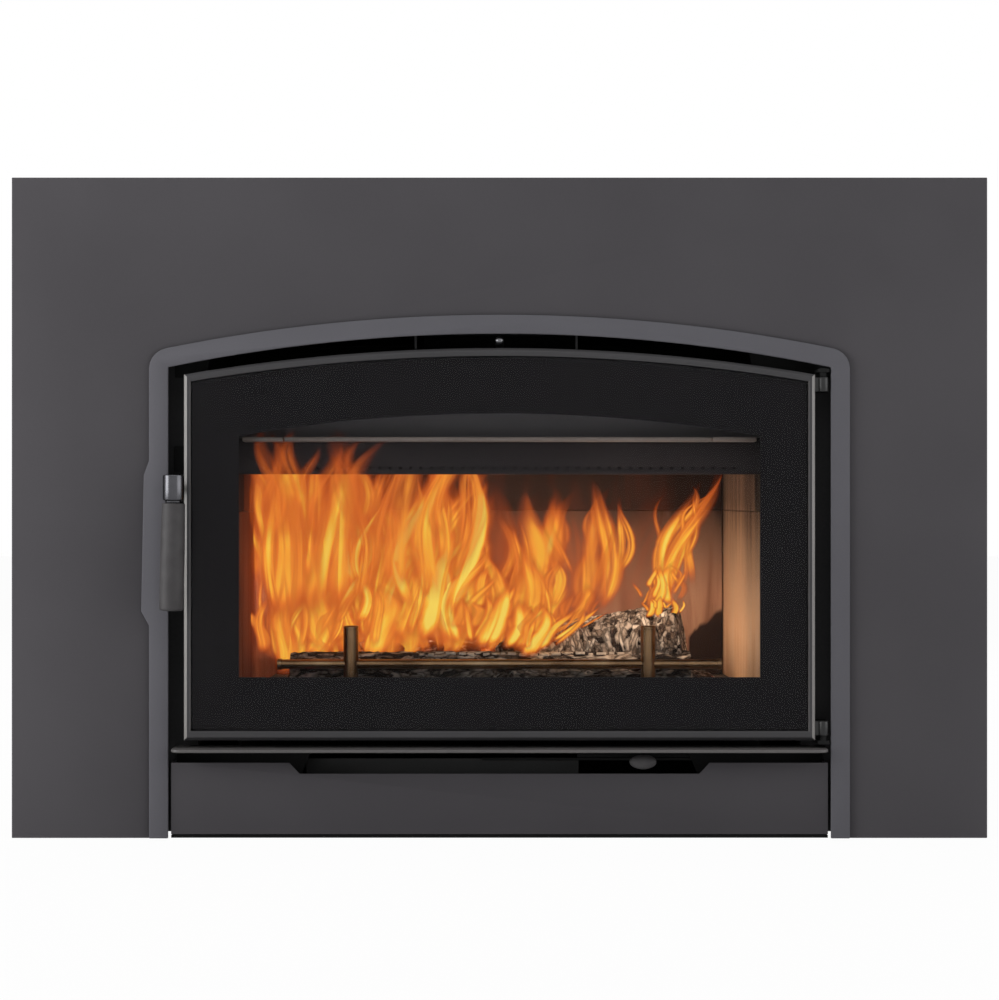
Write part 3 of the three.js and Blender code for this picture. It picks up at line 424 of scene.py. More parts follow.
def ceramicGlass():
    # Clear glass ceramic, fire-polished: hardly tinted face on, and it mirrors the room at a slant
    material, tree, shader, where = newMaterial("ceramicGlass")
    slant = addNode(tree, "LayerWeight", {"Blend": 0.28})
    film = addNode(tree, "MapRange", {
        "Value": addNode(tree, "TexNoise", {"Vector": where, "Scale": 9.0, "Detail": 4.0}), "From Min": 0.45,
        "From Max": 0.8, "To Min": 0.03, "To Max": 0.07,
    })
    cover = addNode(tree, "Math", {
        "operation": "MULTIPLY_ADD", 0: slant.outputs["Fresnel"], 1: 0.8, 2: film, "use_clamp": True,
    })
    fit(tree, shader, {"Base Color": srgb("1c1a19"), "Roughness": 0.03, "IOR": 1.53, "Alpha": cover})
    return material


def blackPrint():
    # Black enamel, screen-printed on the back of the glass and fired: even black with a slight violet cast
    material, tree, shader, where = newMaterial("blackPrint")
    tone = addNode(tree, "ValToRGB", {
        "Fac": addNode(tree, "TexNoise", {"Vector": where, "Scale": 320.0, "Detail": 2.0}),
        "stops": [(0.35, "181519"), (0.65, "1b181c")],
    })
    fit(tree, shader, {"Roughness": 0.42, "Specular IOR Level": 0.1, "Base Color": tone})
    return material


def glassRope():
    # Braided glass fibre rope, coated: grey yarns crossing at a slant every 3 mm, soft and dusty
    material, tree, shader, where = newMaterial("glassRope")
    turned = addNode(tree, "Mapping", {"Vector": where, "Rotation": (0, math.radians(45), 0)})
    over, under = (addNode(tree, "TexWave", {
        "bands_direction": way, "Vector": turned, "Scale": 52.0, "Distortion": 0.6,
    }).outputs[1] for way in "XZ")
    braid = addNode(tree, "Math", {"operation": "MULTIPLY", 0: over, 1: under})
    tone = addNode(tree, "ValToRGB", {
        "Fac": braid, "stops": [(0.0, "2e2b28"), (0.5, "5b5750"), (1.0, "7a766d")],
    })
    fit(tree, shader, {"Roughness": 0.95, "Specular IOR Level": 0.1, "Base Color": tone})
    fit(tree, shader, {
        "Normal": addNode(tree, "Bump", {"Height": braid, "Strength": 0.6, "Distance": 1.0 * mm}),
    })
    return material


def grippyCoat():
    # Powder coat with a fine wrinkle over a steel grip: dark warm grey, soft wide highlight
    material, tree, shader, where = newMaterial("grippyCoat")
    wrinkle = addNode(tree, "TexNoise", {"Vector": where, "Scale": 420.0, "Detail": 3.0, "Roughness": 0.6})
    tone = addNode(tree, "ValToRGB", {
        "Fac": addNode(tree, "TexNoise", {"Vector": where, "Scale": 45.0, "Detail": 3.0}),
        "stops": [(0.3, "2f2d2e"), (0.7, "3d3b3c")],
    })
    fit(tree, shader, {"Roughness": 0.6, "Specular IOR Level": 0.35, "Base Color": tone})
    fit(tree, shader, {
        "Normal": addNode(tree, "Bump", {"Height": wrinkle, "Strength": 0.5, "Distance": 0.4 * mm}),
    })
    return material


def shadowAndSootCorner(tree, spot, height, streaks, wedge):  # 1 in the corner darkened by the painted shadow of the log end and by soot, with a frayed upper edge
    startX, endX, startZ, endZ = wedge
    line = addNode(tree, "MapRange", {
        "Value": spot.outputs["X"], "From Min": startX, "From Max": endX, "To Min": startZ, "To Max": endZ,
    })
    frayed = addNode(tree, "Math", {"operation": "MULTIPLY_ADD", 0: streaks, 1: 0.03, 2: line})
    below = addNode(tree, "MapRange", {
        "interpolation_type": "SMOOTHSTEP",
        "Value": addNode(tree, "Math", {"operation": "SUBTRACT", 0: frayed, 1: height}), "From Min": 0.011,
        "From Max": 0.02,
    })
    beside = addNode(tree, "MapRange", {
        "interpolation_type": "SMOOTHSTEP", "Value": spot.outputs["X"], "From Min": startX - 3 * mm,
        "From Max": startX + 1 * mm,
    })
    return addNode(tree, "Math", {"operation": "MULTIPLY", 0: below, 1: beside})


def firedBrick(name, clean, sootAndShadeColours, sootAndShadeHeights, streak=1.0, wedge=None):
    # Pressed fireclay: sandy tan where the fire keeps it clean, brown and black towards the top, partly soot
    # and partly painted shade under the baffle
    # sootAndShadeHeights: (height where the darkening starts, height where it is full), in metres
    # wedge: a dark corner of painted shadow from the log end together with soot, as (X where it starts, X
    # where it ends, its height at each); to its left the brick darkens to brown
    material, tree, shader, where = newMaterial(name)
    spot = addNode(tree, "SeparateXYZ", {"Vector": where})
    height = spot.outputs["Z"]
    drawn = addNode(tree, "Mapping", {"Vector": where, "Scale": (30.0, 30.0, 4.0 / streak)})
    streaks = addNode(tree, "TexNoise", {
        "Vector": drawn, "Scale": 1.0, "Detail": 5.0, "Roughness": 0.6, "Distortion": 0.7,
    })
    sand = addNode(tree, "TexNoise", {"Vector": where, "Scale": 420.0, "Detail": 4.0, "Roughness": 0.7})
    pits = addNode(tree, "TexVoronoi", {"Vector": where, "Scale": 240.0})
    body = addNode(tree, "ValToRGB", {
        "Fac": streaks, "stops": [(0.28, clean[0]), (0.5, clean[1]), (0.72, clean[2])],
    })
    sootAndShadeTone = addNode(tree, "ValToRGB", {"Fac": sand, "stops": [(0.3, sootAndShadeColours[0]), (0.7, sootAndShadeColours[1])]})
    rise = addNode(tree, "Math", {
        "operation": "ADD",
        0: addNode(tree, "MapRange", {"Value": height, "From Min": sootAndShadeHeights[0], "From Max": sootAndShadeHeights[1]}), 1: -0.65,
    })
    # soot and painted shade: the share of the darker tone, rising towards the top
    black = addNode(tree, "Math", {
        "operation": "MULTIPLY_ADD", 0: streaks, 1: 1.3, 2: rise, "use_clamp": True,
    })
    if wedge:
        towardWedge = (wedge[0] - 62 * mm, wedge[0] - 12 * mm)
        clear = addNode(tree, "MapRange", {
            "interpolation_type": "SMOOTHSTEP", "Value": spot.outputs["X"], "From Min": towardWedge[0],
            "From Max": towardWedge[1], "To Min": 0.35, "To Max": 1.0,
        })
        body = addNode(tree, "Mix", {"data_type": "RGBA", 0: clear, 6: srgb("4a2a1e"), 7: body}).outputs[2]
        black = addNode(tree, "Math", {
            "operation": "MAXIMUM", 0: black, 1: shadowAndSootCorner(tree, spot, height, streaks, wedge),
        })
    mixed = addNode(tree, "Mix", {"data_type": "RGBA", 0: black, 6: body, 7: sootAndShadeTone}).outputs[2]
    fit(tree, shader, {"Roughness": 0.92, "Specular IOR Level": 0.12, "Base Color": mixed})
    fit(tree, shader, {
        "Normal": addNode(tree, "Bump", {
            "Height": addNode(tree, "Math", {
                "operation": "MULTIPLY_ADD", 0: pits.outputs["Distance"], 1: -0.5, 2: sand,
            }),
            "Strength": 0.45, "Distance": 0.8 * mm,
        }),
    })
    return material


def charredBark(name, char, chips, share, stretch, glowing):
    # Burning hardwood: black char split into scales some 6 mm wide, many pale with fly ash, embers between
    # share: how many scales are pale; stretch: the pattern's scale along each axis, under 1 for long scales
    material, tree, shader, where = newMaterial(name)
    crack = addNode(tree, "Attribute", {"attribute_name": "crack"}).outputs["Fac"]
    ash = addNode(tree, "Attribute", {"attribute_name": "ash"}).outputs["Fac"]
    drawn = addNode(tree, "Mapping", {"Vector": where, "Scale": stretch})
    bend = addNode(tree, "TexNoise", {"Vector": drawn, "Scale": 40.0, "Detail": 2.0})
    bent = addNode(tree, "VectorMath", {
        "operation": "MULTIPLY_ADD", 0: bend.outputs["Color"], 1: (0.03, 0.03, 0.03), 2: drawn,
    })
    scales = addNode(tree, "TexVoronoi", {"Vector": bent, "Scale": 165.0})
    seams = addNode(tree, "TexVoronoi", {"feature": "DISTANCE_TO_EDGE", "Vector": bent, "Scale": 165.0})
    dust = addNode(tree, "TexNoise", {"Vector": where, "Scale": 330.0, "Detail": 4.0, "Roughness": 0.7})
    tint = addNode(tree, "SeparateXYZ", {"Vector": scales.outputs["Color"]})
    paler = addNode(tree, "Math", {
        "operation": "MULTIPLY_ADD", 0: ash, 1: 0.25,
        2: addNode(tree, "Math", {"operation": "MULTIPLY_ADD", 0: dust, 1: 0.7, 2: -0.35}),
    })
    paleness = addNode(tree, "Math", {"operation": "ADD", 0: tint, 1: paler, "use_clamp": True})
    edge = 1.0 - share
    tone = addNode(tree, "ValToRGB", {
        "Fac": paleness,
        "stops": [
            (0.0, char[0]), (edge, char[1]), (edge + 0.1, chips[0]), (edge + 0.45 * share, chips[1]),
            (1.0, chips[2]),
        ],
    })
    gap = addNode(tree, "MapRange", {
        "interpolation_type": "SMOOTHSTEP", "Value": seams.outputs["Distance"], "From Min": 0.0,
        "From Max": 0.3, "To Min": 0.3, "To Max": 1.0,
    })
    alight = addNode(tree, "MapRange", {
        "Value": addNode(tree, "TexNoise", {"Vector": where, "Scale": 22.0, "Detail": 2.0}),
        "From Min": 1.0 - glowing, "From Max": 1.12 - glowing,
    })
    ember = addNode(tree, "Math", {"operation": "MULTIPLY", 0: crack, 1: alight})
    heat = addNode(tree, "ValToRGB", {
        "Fac": ember, "stops": [(0.0, "000000"), (0.45, "8a2008"), (1.0, "ff8a2c")],
    })
    fit(tree, shader, {
        "Roughness": 0.85, "Specular IOR Level": 0.3,
        "Base Color": addNode(tree, "Mix", {
            "data_type": "RGBA", 0: gap, 6: srgb(char[0]), 7: tone,
        }).outputs[2],
        "Emission Color": heat, "Emission Strength": 1.2,
    })
    fit(tree, shader, {
        "Normal": addNode(tree, "Bump", {
            "Height": addNode(tree, "Math", {"operation": "MULTIPLY_ADD", 0: dust, 1: 0.3, 2: gap}),
            "Strength": 0.7, "Distance": 1.2 * mm,
        }),
    })
    return material


# the door frame's outer bevel, which carries a painted highlight
doorEdgeHighlight = {"inner": 352 * mm, "outer": 361.2 * mm, "slant": 0.3, "forward": -0.2}  # where its bevel lies
bronze = ("6d5239", "8f7152", "a58a6a")
paints = {kind: matPaint(kind + "Paint", *values) for kind, values in {
    "surround": ("484649", "4c4a4d", 0.72, 0.12),
    "trim": ("59585d", "5d5c61", 0.7, 0.12),
    # painted shade: past the frame's outer edge the hinge eyes are painted near black, standing in for the
    # shade in the gap beside the door
    "door": ("2d2c2e", "333234", 0.36, 0.36, ("X", doorEdgeHighlight["outer"], "161616")),
    # painted highlight: lighter paint for the bevel, standing in for the lamps' reflection on it
    "doorEdgeHighlight": ("777472", "858280", 0.4, 0.4),
    "apron": ("3e3c3f", "424043", 0.66, 0.15),
    # painted highlight: a lighter, shinier copy of the apron paint so that the shelf's front edge reads
    # bright
    "shelf": ("4a4848", "595655", 0.42, 0.4),
    "black": ("161616", "1c1c1c", 0.75, 0.12),
    # painted light: a lighter copy of the black steel paint, so the jacket shows in the dark gap above the
    # door
    "jacket": ("29292a", "343334", 0.7, 0.2, None, 1.8 * mm),
    # painted highlight: the black steel lips are painted light grey so that their edges read bright
    "lip": ("9d918b", "b3a6a0", 0.45, 0.4),
    # painted light: above the airwash lip the manifold is painted pale grey, standing in for light falling on
    # that band
    "manifold": ("322d30", "3b3638", 0.7, 0.2, ("Z", 0.4607, "8a868a")),
    # painted light: a lighter copy of the black steel paint, so the front plate shows in the dark gap above
    # the door
    "plate": ("2a2a2b", "323233", 0.7, 0.2),
    "blower": ("2c2c2c", "353535", 0.6, 0.2),
}.items()}
ferruleSteel = turnedSteel("ferruleSteel", ("434346", "4c4c4f", "57575a"), 0.23, (600.0, 600.0, 30.0))
bareSteel = turnedSteel("bareSteel", ("5a5a5c", "69696b", "77777a"), 0.34, (400.0, 400.0, 60.0))
postBronze = turnedSteel("postBronze", bronze, 0.3, (500.0, 500.0, 20.0))
barBronze = turnedSteel("barBronze", bronze, 0.3, (20.0, 500.0, 500.0))
windowGlass = ceramicGlass()
printedBorder = blackPrint()
sealRope = glassRope()
gripCoat = grippyCoat()
ashCrust = matPaint("ashCrust", "b0a598", "f2eadf", 0.95, 0.0, grain=2.4 * mm)  # burnt white flakes
bricks = {name: firedBrick(name, *values) for name, values in {
    "brickRight": (("a88a70", "bfa58b", "d6c2ab"), ("3a302b", "57493f"), (0.22, 0.39), 2.4),
    "brickLeft": (("74402f", "925a45", "a87258"), ("3e2720", "5a3a2f"), (0.30, 0.46), 2.4),
    "brickBack": (("52281d", "744030", "8e5641"), ("1c1412", "2b1f1b"), (0.23, 0.375)),
    # painted shadow: this back brick carries the dark corner of the log end's shadow and soot
    "brickBackRight": (("7a5a49", "b0917f", "d6b9a2"), ("241b18", "382b26"), (0.26, 0.39), 1.6,
                       (0.247, 0.281, 0.213, 0.243)),
    "brickFloor": (("4a4540", "625b54", "7a736a"), ("2a2623", "3a3531"), (0.2, 0.9)),
    "baffleBoard": (("3a332e", "544b43", "6b5f55"), ("1e1a18", "2c2724"), (0.1, 0.44)),
}.items()}
print("finishes ready")


# Steelwork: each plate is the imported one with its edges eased
eased = (  # finish, slot, and each node with its edge radius in mm
    (paints["surround"], "grey_steel", {"surround_panel": 0.7}),
    (paints["trim"], "trim_steel", {"arch_trim": 1.0}),
    (paints["door"], "door_steel", {"door_frame": 0.5}),
    (paints["shelf"], "apron_steel", {"hearth_shelf": 1.1}),
    (paints["apron"], "apron_steel", {"apron": 0.5}),
    (paints["plate"], "black_steel", {"front_plate": 0.8, "flue_collar": 0.8}),
    (paints["black"], "black_steel", {
        "slot_plate": 0.4, "corner_plate_left": 0.4, "corner_plate_right": 0.4, "hinge_bracket_top": 0.5,
        "hinge_bracket_bottom": 0.5, "latch_catch": 0.6,
    }),
    # painted highlight: the lips are black steel, but they get the light grey lip paint
    (paints["lip"], "black_steel", {"airwash_lip_" + third: 0.9 for third in ("left", "centre", "right")}),
    (paints["manifold"], "black_steel", {"air_manifold": 0.6}),
    (bareSteel, "bare_steel", {"latch_shaft": 0.4, "damper_slide": 0.4}),
    (paints["blower"], "black_steel", {"blower_housing": 0.5}),
    (gripCoat, "grip_black", {"power_inlet": 0.6}),
)
plain = (  # finish and nodes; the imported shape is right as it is
    (paints["black"], ("base_pan", "firebox_floor", "firebox_left", "firebox_right", "firebox_back",
                       "firebox_top", "damper_box", "blower_wheel")),
    (paints["jacket"], ("jacket_left", "jacket_right", "jacket_back", "jacket_top")),
    (windowGlass, ("door_glass",)),
    (printedBorder, ("glass_border",)),
    (sealRope, ("glass_seal", "door_rope")),
    (bareSteel, ("blower_motor",)),
)


def paintDoorEdgeHighlight(piece):  # painted highlight: the frame's outer bevel gets a lighter paint that stands in for the lamps' reflection on it
    piece.data.materials.append(paints["doorEdgeHighlight"])
    for face in piece.data.polygons:
        slanted = abs(face.normal.x) > doorEdgeHighlight["slant"] and face.normal.y < doorEdgeHighlight["forward"]
        if slanted and doorEdgeHighlight["inner"] < abs(face.center.x) < doorEdgeHighlight["outer"]:
            face.material_index = 1


def addSteelwork():
    for finish, slotName, edges in eased:
        for nodeName, edge in edges.items():
            piece = easedPlate(nodeName, finish, slotName, edge * mm)
            if nodeName == "door_frame":
                paintDoorEdgeHighlight(piece)
    for finish, nodeNames in plain:
        for nodeName in nodeNames:
            cadNodes[nodeName].data.materials.clear()
            cadNodes[nodeName].data.materials.append(finish)


# Turned pieces: andiron, handle, hinge washers, air control knob
andironSizes = {
    "postEase": 0.9 * mm,
    "groove": ((4.6 * mm, 0), (4.2 * mm, 0.5 * mm), (3.6 * mm, 0.5 * mm), (3.2 * mm, 0)),  # down, inward
    "barEase": 0.8 * mm,
    "capLength": 6 * mm,
    "capEase": 0.6 * mm,
    "capInward": 0.8 * mm,
    "capProud": 0.9 * mm,
}


def addAndiron():
    for side in ("left", "right"):
        nodeName = "andiron_post_" + side
        low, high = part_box(nodeName)
        radius, height = (high.x - low.x) / 2, high.z - low.z
        profile = roundBar(height, radius, andironSizes["postEase"])
        profile[3:3] = [(height - down, radius - inward) for down, inward in andironSizes["groove"]]
        foot = ((low.x + high.x) / 2, (low.y + high.y) / 2, low.z)
        post = turnedPiece(profile, foot, upward, nodeName + "_turned")
        dress(post, postBronze, "bronze_steel", "root", nodeName)
    low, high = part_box("andiron_bar")
    middle, radius = (low + high) / 2, (high.z - low.z) / 2
    profile = roundBar(high.x - low.x, radius, andironSizes["barEase"])
    bar = turnedPiece(profile, (low.x, middle.y, middle.z), (1, 0, 0), "andiron_bar_turned")
    dress(bar, barBronze, "bronze_steel", "root", "andiron_bar")
    profile = roundBar(andironSizes["capLength"], radius + andironSizes["capProud"], andironSizes["capEase"],
                       andironSizes["capInward"])
    caps = [turnedPiece(profile, (x, middle.y, middle.z), (way, 0, 0), "cap")
            for x, way in ((low.x, 1), (high.x, -1))]
    dress(joinPieces(caps, "andiron_bar_caps"), postBronze, "bronze_steel", "root")


handleSizes = {
    "bulge": 0.5 * mm,
    "footEase": 3.2 * mm,
    "headEase": 1.2 * mm,
    "easeSteps": 5,
    "shaftSteps": 12,
    "endBand": 1.5 * mm,  # how near an end the points lie that give its middle
    "ferruleEase": 1.1 * mm,
}


def addHandle():
    # The ferrule keeps its cross bore and neck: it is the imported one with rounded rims
    easedPlate("handle_ferrule", ferruleSteel, "bare_steel", handleSizes["ferruleEase"], 3, 40)
    points = pointsOf("handle_grip")
    ends = []
    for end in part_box("handle_grip"):  # the grip leans a little, so each end has its own middle
        ring = [p for p in points if abs(p.z - end.z) < handleSizes["endBand"]]
        middle = middleOf(ring)
        ends += [Vector((middle.x, middle.y, end.z)), max(p.x for p in ring) - middle.x]
    foot, footRadius, head, headRadius = ends
    length, ease, rim = (head - foot).length, handleSizes["footEase"], handleSizes["headEase"]
    steps, along = handleSizes["easeSteps"], handleSizes["shaftSteps"]
    profile = [(0, 0), (0, footRadius - ease)]
    profile += [(ease * (1 - cosine), footRadius - ease + ease * sine)
                for sine, cosine in quarterTurn(steps, 1)]
    for step in range(1, along):
        share = step / along
        radius = footRadius + (headRadius - footRadius) * share
        radius += handleSizes["bulge"] * math.sin(math.pi * share)
        profile.append((ease + (length - 2 * ease) * share, radius))
    profile += [(length - rim + rim * cosine, headRadius - rim + rim * sine)
                for sine, cosine in reversed(quarterTurn(steps))]
    profile.append((length, 0))
    grip = turnedPiece(profile, foot, head - foot, "handle_grip_turned", 64)
    dress(grip, gripCoat, "grip_black", "door_handle", "handle_grip")


washerSizes = {
    "height": 5 * mm,
    "radius": 3.2 * mm,
    "ease": 0.4 * mm,
    "inward": 0.5 * mm,
    "underTop": 11.6 * mm,
    "overBottom": 5.4 * mm,
}


def addHingePins():  # the bright part of each pin that shows between the door's eye and the bracket
    x, y = next(joint for joint in frame["joints"] if joint["name"] == "door_hinge")["pos_m"][:2]
    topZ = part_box("hinge_bracket_top")[1].z - washerSizes["underTop"]
    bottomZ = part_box("hinge_bracket_bottom")[0].z + washerSizes["overBottom"]
    profile = roundBar(*(washerSizes[key] for key in ("height", "radius", "ease", "inward")))
    washers = [turnedPiece(profile, (x, y, z), upward, "washer", 28) for z in (topZ, bottomZ)]
    dress(joinPieces(washers, "hinge_washers"), bareSteel, "bare_steel", "root")


knobSizes = {
    "half": (15.5 * mm, 8.5 * mm),  # half width, half height
    "domeDepth": 7 * mm,
    "backDepth": 4.5 * mm,
    "backSteps": 9,
    "domeSteps": 12,
    "squareness": 0.8,  # under 1 the dome keeps its width for longer
    "frontBand": 0.6 * mm,
    "tip": 0.02 * mm,  # closes the dome
    "stemRadius": 2.2 * mm,
    "stemInto": 1 * mm,  # how far the stem reaches into the strip
    "stripBehind": 12 * mm,
    "stripEdge": 0.5 * mm,
}


def addAirControl():
    body, frontY = bodyOf("air_control"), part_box("air_control")[0].y
    points = pointsOf("air_control")
    front = [p for p in points if p.y < frontY + knobSizes["frontBand"]]
    knobX, knobZ = sum(p.x for p in front) / len(front), sum(p.z for p in front) / len(front)
    (wide, tall), back, dome = knobSizes["half"], knobSizes["backDepth"], knobSizes["domeDepth"]
    rimY = frontY + dome
    profile = [(0, 0)]  # the back half is a flatter dome than the front
    profile += [(back * (1 - cosine), wide * sine) for sine, cosine in quarterTurn(knobSizes["backSteps"], 3)]
    profile += [(back + dome * sine, wide * cosine ** knobSizes["squareness"])
                for sine, cosine in quarterTurn(knobSizes["domeSteps"], 1)[:-1]]
    profile.append((profile[-1][0] + knobSizes["tip"], 0))
    knob = turnedPiece(profile, (knobX, rimY + back, knobZ), (0, -1, 0), "air_control_knob", 56)
    for vertex in knob.data.vertices:
        vertex.co.z = knobZ + (vertex.co.z - knobZ) * tall / wide
    dress(knob, gripCoat, "grip_black", body, "air_control")
    strip = [p for p in points if p.y > rimY + knobSizes["stripBehind"]]
    low, high = (Vector([pick(p[axis] for p in strip) for axis in range(3)]) for pick in (min, max))
    length, radius = low.y - rimY + knobSizes["stemInto"], knobSizes["stemRadius"]
    stem = turnedPiece([(0, 0), (0, radius), (length, radius), (length, 0)],
                       (knobX, rimY, (low.z + high.z) / 2), (0, 1, 0), "air_control_stem", 28)
    slider = softBlock(low, high, knobSizes["stripEdge"], "air_control_strip", 2, 35)
    dress(joinPieces([slider, stem], "air_control_slider"), paints["black"], "black_steel", body)


# Bricks, worn at their edges
brickWear = {  # finish: its nodes, and their wear in mm
    "brickFloor": (("floor_brick",), 1.6),
    "brickLeft": (("side_brick_left_lower", "side_brick_left_upper"), 1.4),
    "brickRight": (("side_brick_right_lower", "side_brick_right_upper"), 1.4),
    "brickBack": (("back_brick_lower_left", "back_brick_upper_left", "back_brick_upper_right"), 1.4),
    "brickBackRight": (("back_brick_lower_right",), 1.4),
    "baffleBoard": (("baffle_board",), 1.8),
}


def addBricks():
    for finishName, (nodeNames, wear) in brickWear.items():
        for nodeName in nodeNames:
            slotName = "ceramic_board" if nodeName == "baffle_board" else "fireclay"
            easedPlate(nodeName, bricks[finishName], slotName, wear * mm, 3)


addSteelwork()
addAndiron()
addHandle()
addHingePins()
addAirControl()
addBricks()
print("steelwork ready")


# Jacket: pressed ribs, sheet-metal screws, the pipe collar's bead and the inlet's pins
jacketSizes = {
    "ribWidth": 14 * mm,
    "ribHeight": 1.3 * mm,
    "ribSunk": 0.4 * mm,
    "ribEnd": 62 * mm,  # from the top and bottom of the panel
    "backRibs": (-176 * mm, 0, 176 * mm),
    "sideRibs": (118 * mm, 232 * mm),  # measured back from the wall line
    "screwPitch": 104 * mm,
    "screwIn": 12 * mm,  # from a panel's edge
    "topStart": 60 * mm,  # the first screw along the top's sides, from the wall line
    "screwFlange": (4.6 * mm, 1.0 * mm),  # radius, thickness
    "screwHead": (3.3 * mm, 2.6 * mm),
    "screwEase": 0.5 * mm,
    "screwSunk": 0.1 * mm,
    "beadRadius": 1.6 * mm,
    "beadSunk": 0.2 * mm,
    "beadDown": 14 * mm,  # from the collar's rim
    "rimBand": 1 * mm,  # the points this near the rim give its middle
    "socketWall": 3 * mm,
    "pinSize": (7 * mm, 1.6 * mm, 5 * mm),
    "pinSunk": 0.2 * mm,
    "pinEase": 0.4 * mm,
    "pinPlaces": ((-7 * mm, -2.1 * mm), (0, 2.8 * mm), (7 * mm, -2.1 * mm)),  # from the socket's middle
}


def addRibs():
    backLow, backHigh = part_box("jacket_back")
    low, high = backLow.z + jacketSizes["ribEnd"], backHigh.z - jacketSizes["ribEnd"]
    half, rise, sunk = jacketSizes["ribWidth"] / 2, jacketSizes["ribHeight"], jacketSizes["ribSunk"]
    backY = (backHigh.y - sunk, backHigh.y + rise)
    spans = [((x - half, x + half), backY) for x in jacketSizes["backRibs"]]
    for y in jacketSizes["sideRibs"]:
        spans.append(((backHigh.x - sunk, backHigh.x + rise), (y - half, y + half)))
        spans.append(((backLow.x - rise, backLow.x + sunk), (y - half, y + half)))
    ribs = [softBlock((x[0], y[0], low), (x[1], y[1], high), rise, "rib") for x, y in spans]
    dress(joinPieces(ribs, "jacket_ribs"), paints["jacket"], "black_steel", "root")


def hexScrew():
    (wide, thick), (radius, height) = jacketSizes["screwFlange"], jacketSizes["screwHead"]
    ease, sunk = jacketSizes["screwEase"], jacketSizes["screwSunk"]
    profile = [(0, 0), (0, wide), (0.6 * thick, wide), (thick, wide - ease), (thick, 0)]
    flange = turnedPiece(profile, (0, 0, 0), upward, "screw_flange", 18)
    bpy.ops.mesh.primitive_cylinder_add(vertices=6, radius=radius, depth=height,
                                        location=(0, 0, thick - sunk + height / 2))
    hexHead = settle(bpy.context.active_object, "screw_head")
    applyModifier(hexHead, "BEVEL", {"width": ease, "segments": 2, "limit_method": "ANGLE"})
    smoothOver(hexHead, 30)
    return joinPieces([flange, hexHead], "screw")


def evenly(low, high, pitch):  # places from low to high, as near the pitch as they divide
    count = max(1, round((high - low) / pitch))
    return [low + (high - low) * number / count for number in range(count + 1)]


def addScrews():
    backLow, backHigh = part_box("jacket_back")
    edge, pitch = jacketSizes["screwIn"], jacketSizes["screwPitch"]
    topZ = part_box("jacket_top")[1].z
    backward = Vector((0, 1, 0))
    spots = []
    for z in evenly(backLow.z + edge, backHigh.z - edge, pitch):
        spots += [((way * (backHigh.x - edge), backHigh.y, z), backward) for way in (-1, 1)]
    for x in evenly(backLow.x + 4 * edge, backHigh.x - 4 * edge, pitch):
        spots.append(((x, backHigh.y, backHigh.z - edge), backward))
        spots.append(((x, backHigh.y - edge, topZ), upward))
    for y in evenly(jacketSizes["topStart"], backHigh.y - 5 * edge, pitch):
        spots += [((way * (backHigh.x - edge), y, topZ), upward) for way in (-1, 1)]
    model = hexScrew()
    screws = []
    for place, way in spots:
        screw = model.copy()
        screw.data = model.data.copy()
        bpy.context.scene.collection.objects.link(screw)
        turn = upward.rotation_difference(way).to_matrix().to_4x4()
        screw.matrix_world = Matrix.Translation(Vector(place) - way * jacketSizes["screwSunk"]) @ turn
        screws.append(screw)
    bpy.data.objects.remove(model)
    dress(joinPieces(screws, "jacket_screws"), bareSteel, "bare_steel", "root")


def addCollarBead():
    points = pointsOf("flue_collar")
    rimZ = max(p.z for p in points)
    rimY = [p.y for p in points if p.z > rimZ - jacketSizes["rimBand"]]
    collarRadius, middleY = (max(rimY) - min(rimY)) / 2, (min(rimY) + max(rimY)) / 2
    bpy.ops.mesh.primitive_torus_add(
        major_radius=collarRadius - jacketSizes["beadSunk"], minor_radius=jacketSizes["beadRadius"],
        major_segments=72, minor_segments=12, location=(0, middleY, rimZ - jacketSizes["beadDown"]))
    bead = settle(bpy.context.active_object, "flue_collar_bead")
    smoothOver(bead, 60)
    dress(bead, paints["plate"], "black_steel", "root")


def addInletPins():
    low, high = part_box("power_inlet")
    reach, thick, wide = jacketSizes["pinSize"]
    half = Vector((0, thick, wide)) / 2
    floor = Vector((low.x + jacketSizes["socketWall"], (low.y + high.y) / 2, (low.z + high.z) / 2))
    pins = []
    for across, up in jacketSizes["pinPlaces"]:
        start = floor + Vector((-jacketSizes["pinSunk"], across, up))
        end = floor + Vector((reach, across, up))
        pins.append(softBlock(start - half, end + half, jacketSizes["pinEase"], "pin"))
    dress(joinPieces(pins, "inlet_pins"), bareSteel, "bare_steel", "root")


addRibs()
addScrews()
addCollarBead()
addInletPins()
print("jacket details ready")


# Logs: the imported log's axis and girth, with split faces, lumps and cracks worked into the surface
noise.seed_set(3)  # without it, noise_vector takes its offsets from the clock
logSizes = {
    "stepsAround": 84,
    "stepLength": 2.6 * mm,  # spacing of the rings along a log
    "crackDepth": 2.6 * mm,
    "plate": (13 * mm, 13 * mm, 8 * mm),  # bark plates: along the log, then across it
    "endRings": 9,
    "endBand": 0.2,  # share of the length whose points give an end's middle
    "lumpShare": 0.035,
    "ridge": 0.5 * mm,
    "endEase": 5 * mm,
    "checkDepth": 3 * mm,
    "checkWidth": 0.07,
}
logKinds = {
    # share of pale scales, stretch of the scales, share that glows, where the split face looks, how much it
    # takes off, seed
    "log_front": (0.7, (0.4, 1, 1.2), 0.12, (0, 0.6, -1), 0.1, 11),
    "log_left": (0.3, (0.6, 1, 1), 0.4, (0.1, -0.3, 1), 0.3, 23),
    "log_back": (0.2, (0.6, 1, 1), 0.5, (0, 0, 1), 0.2, 37),
    "log_right": (0.84, (1.15, 1, 0.55), 0.1, (0, 1, 0.2), 0.2, 41),
    "log_top": (0.2, (0.6, 1, 1), 0.5, (0, -0.5, 1), 0.25, 59),
}


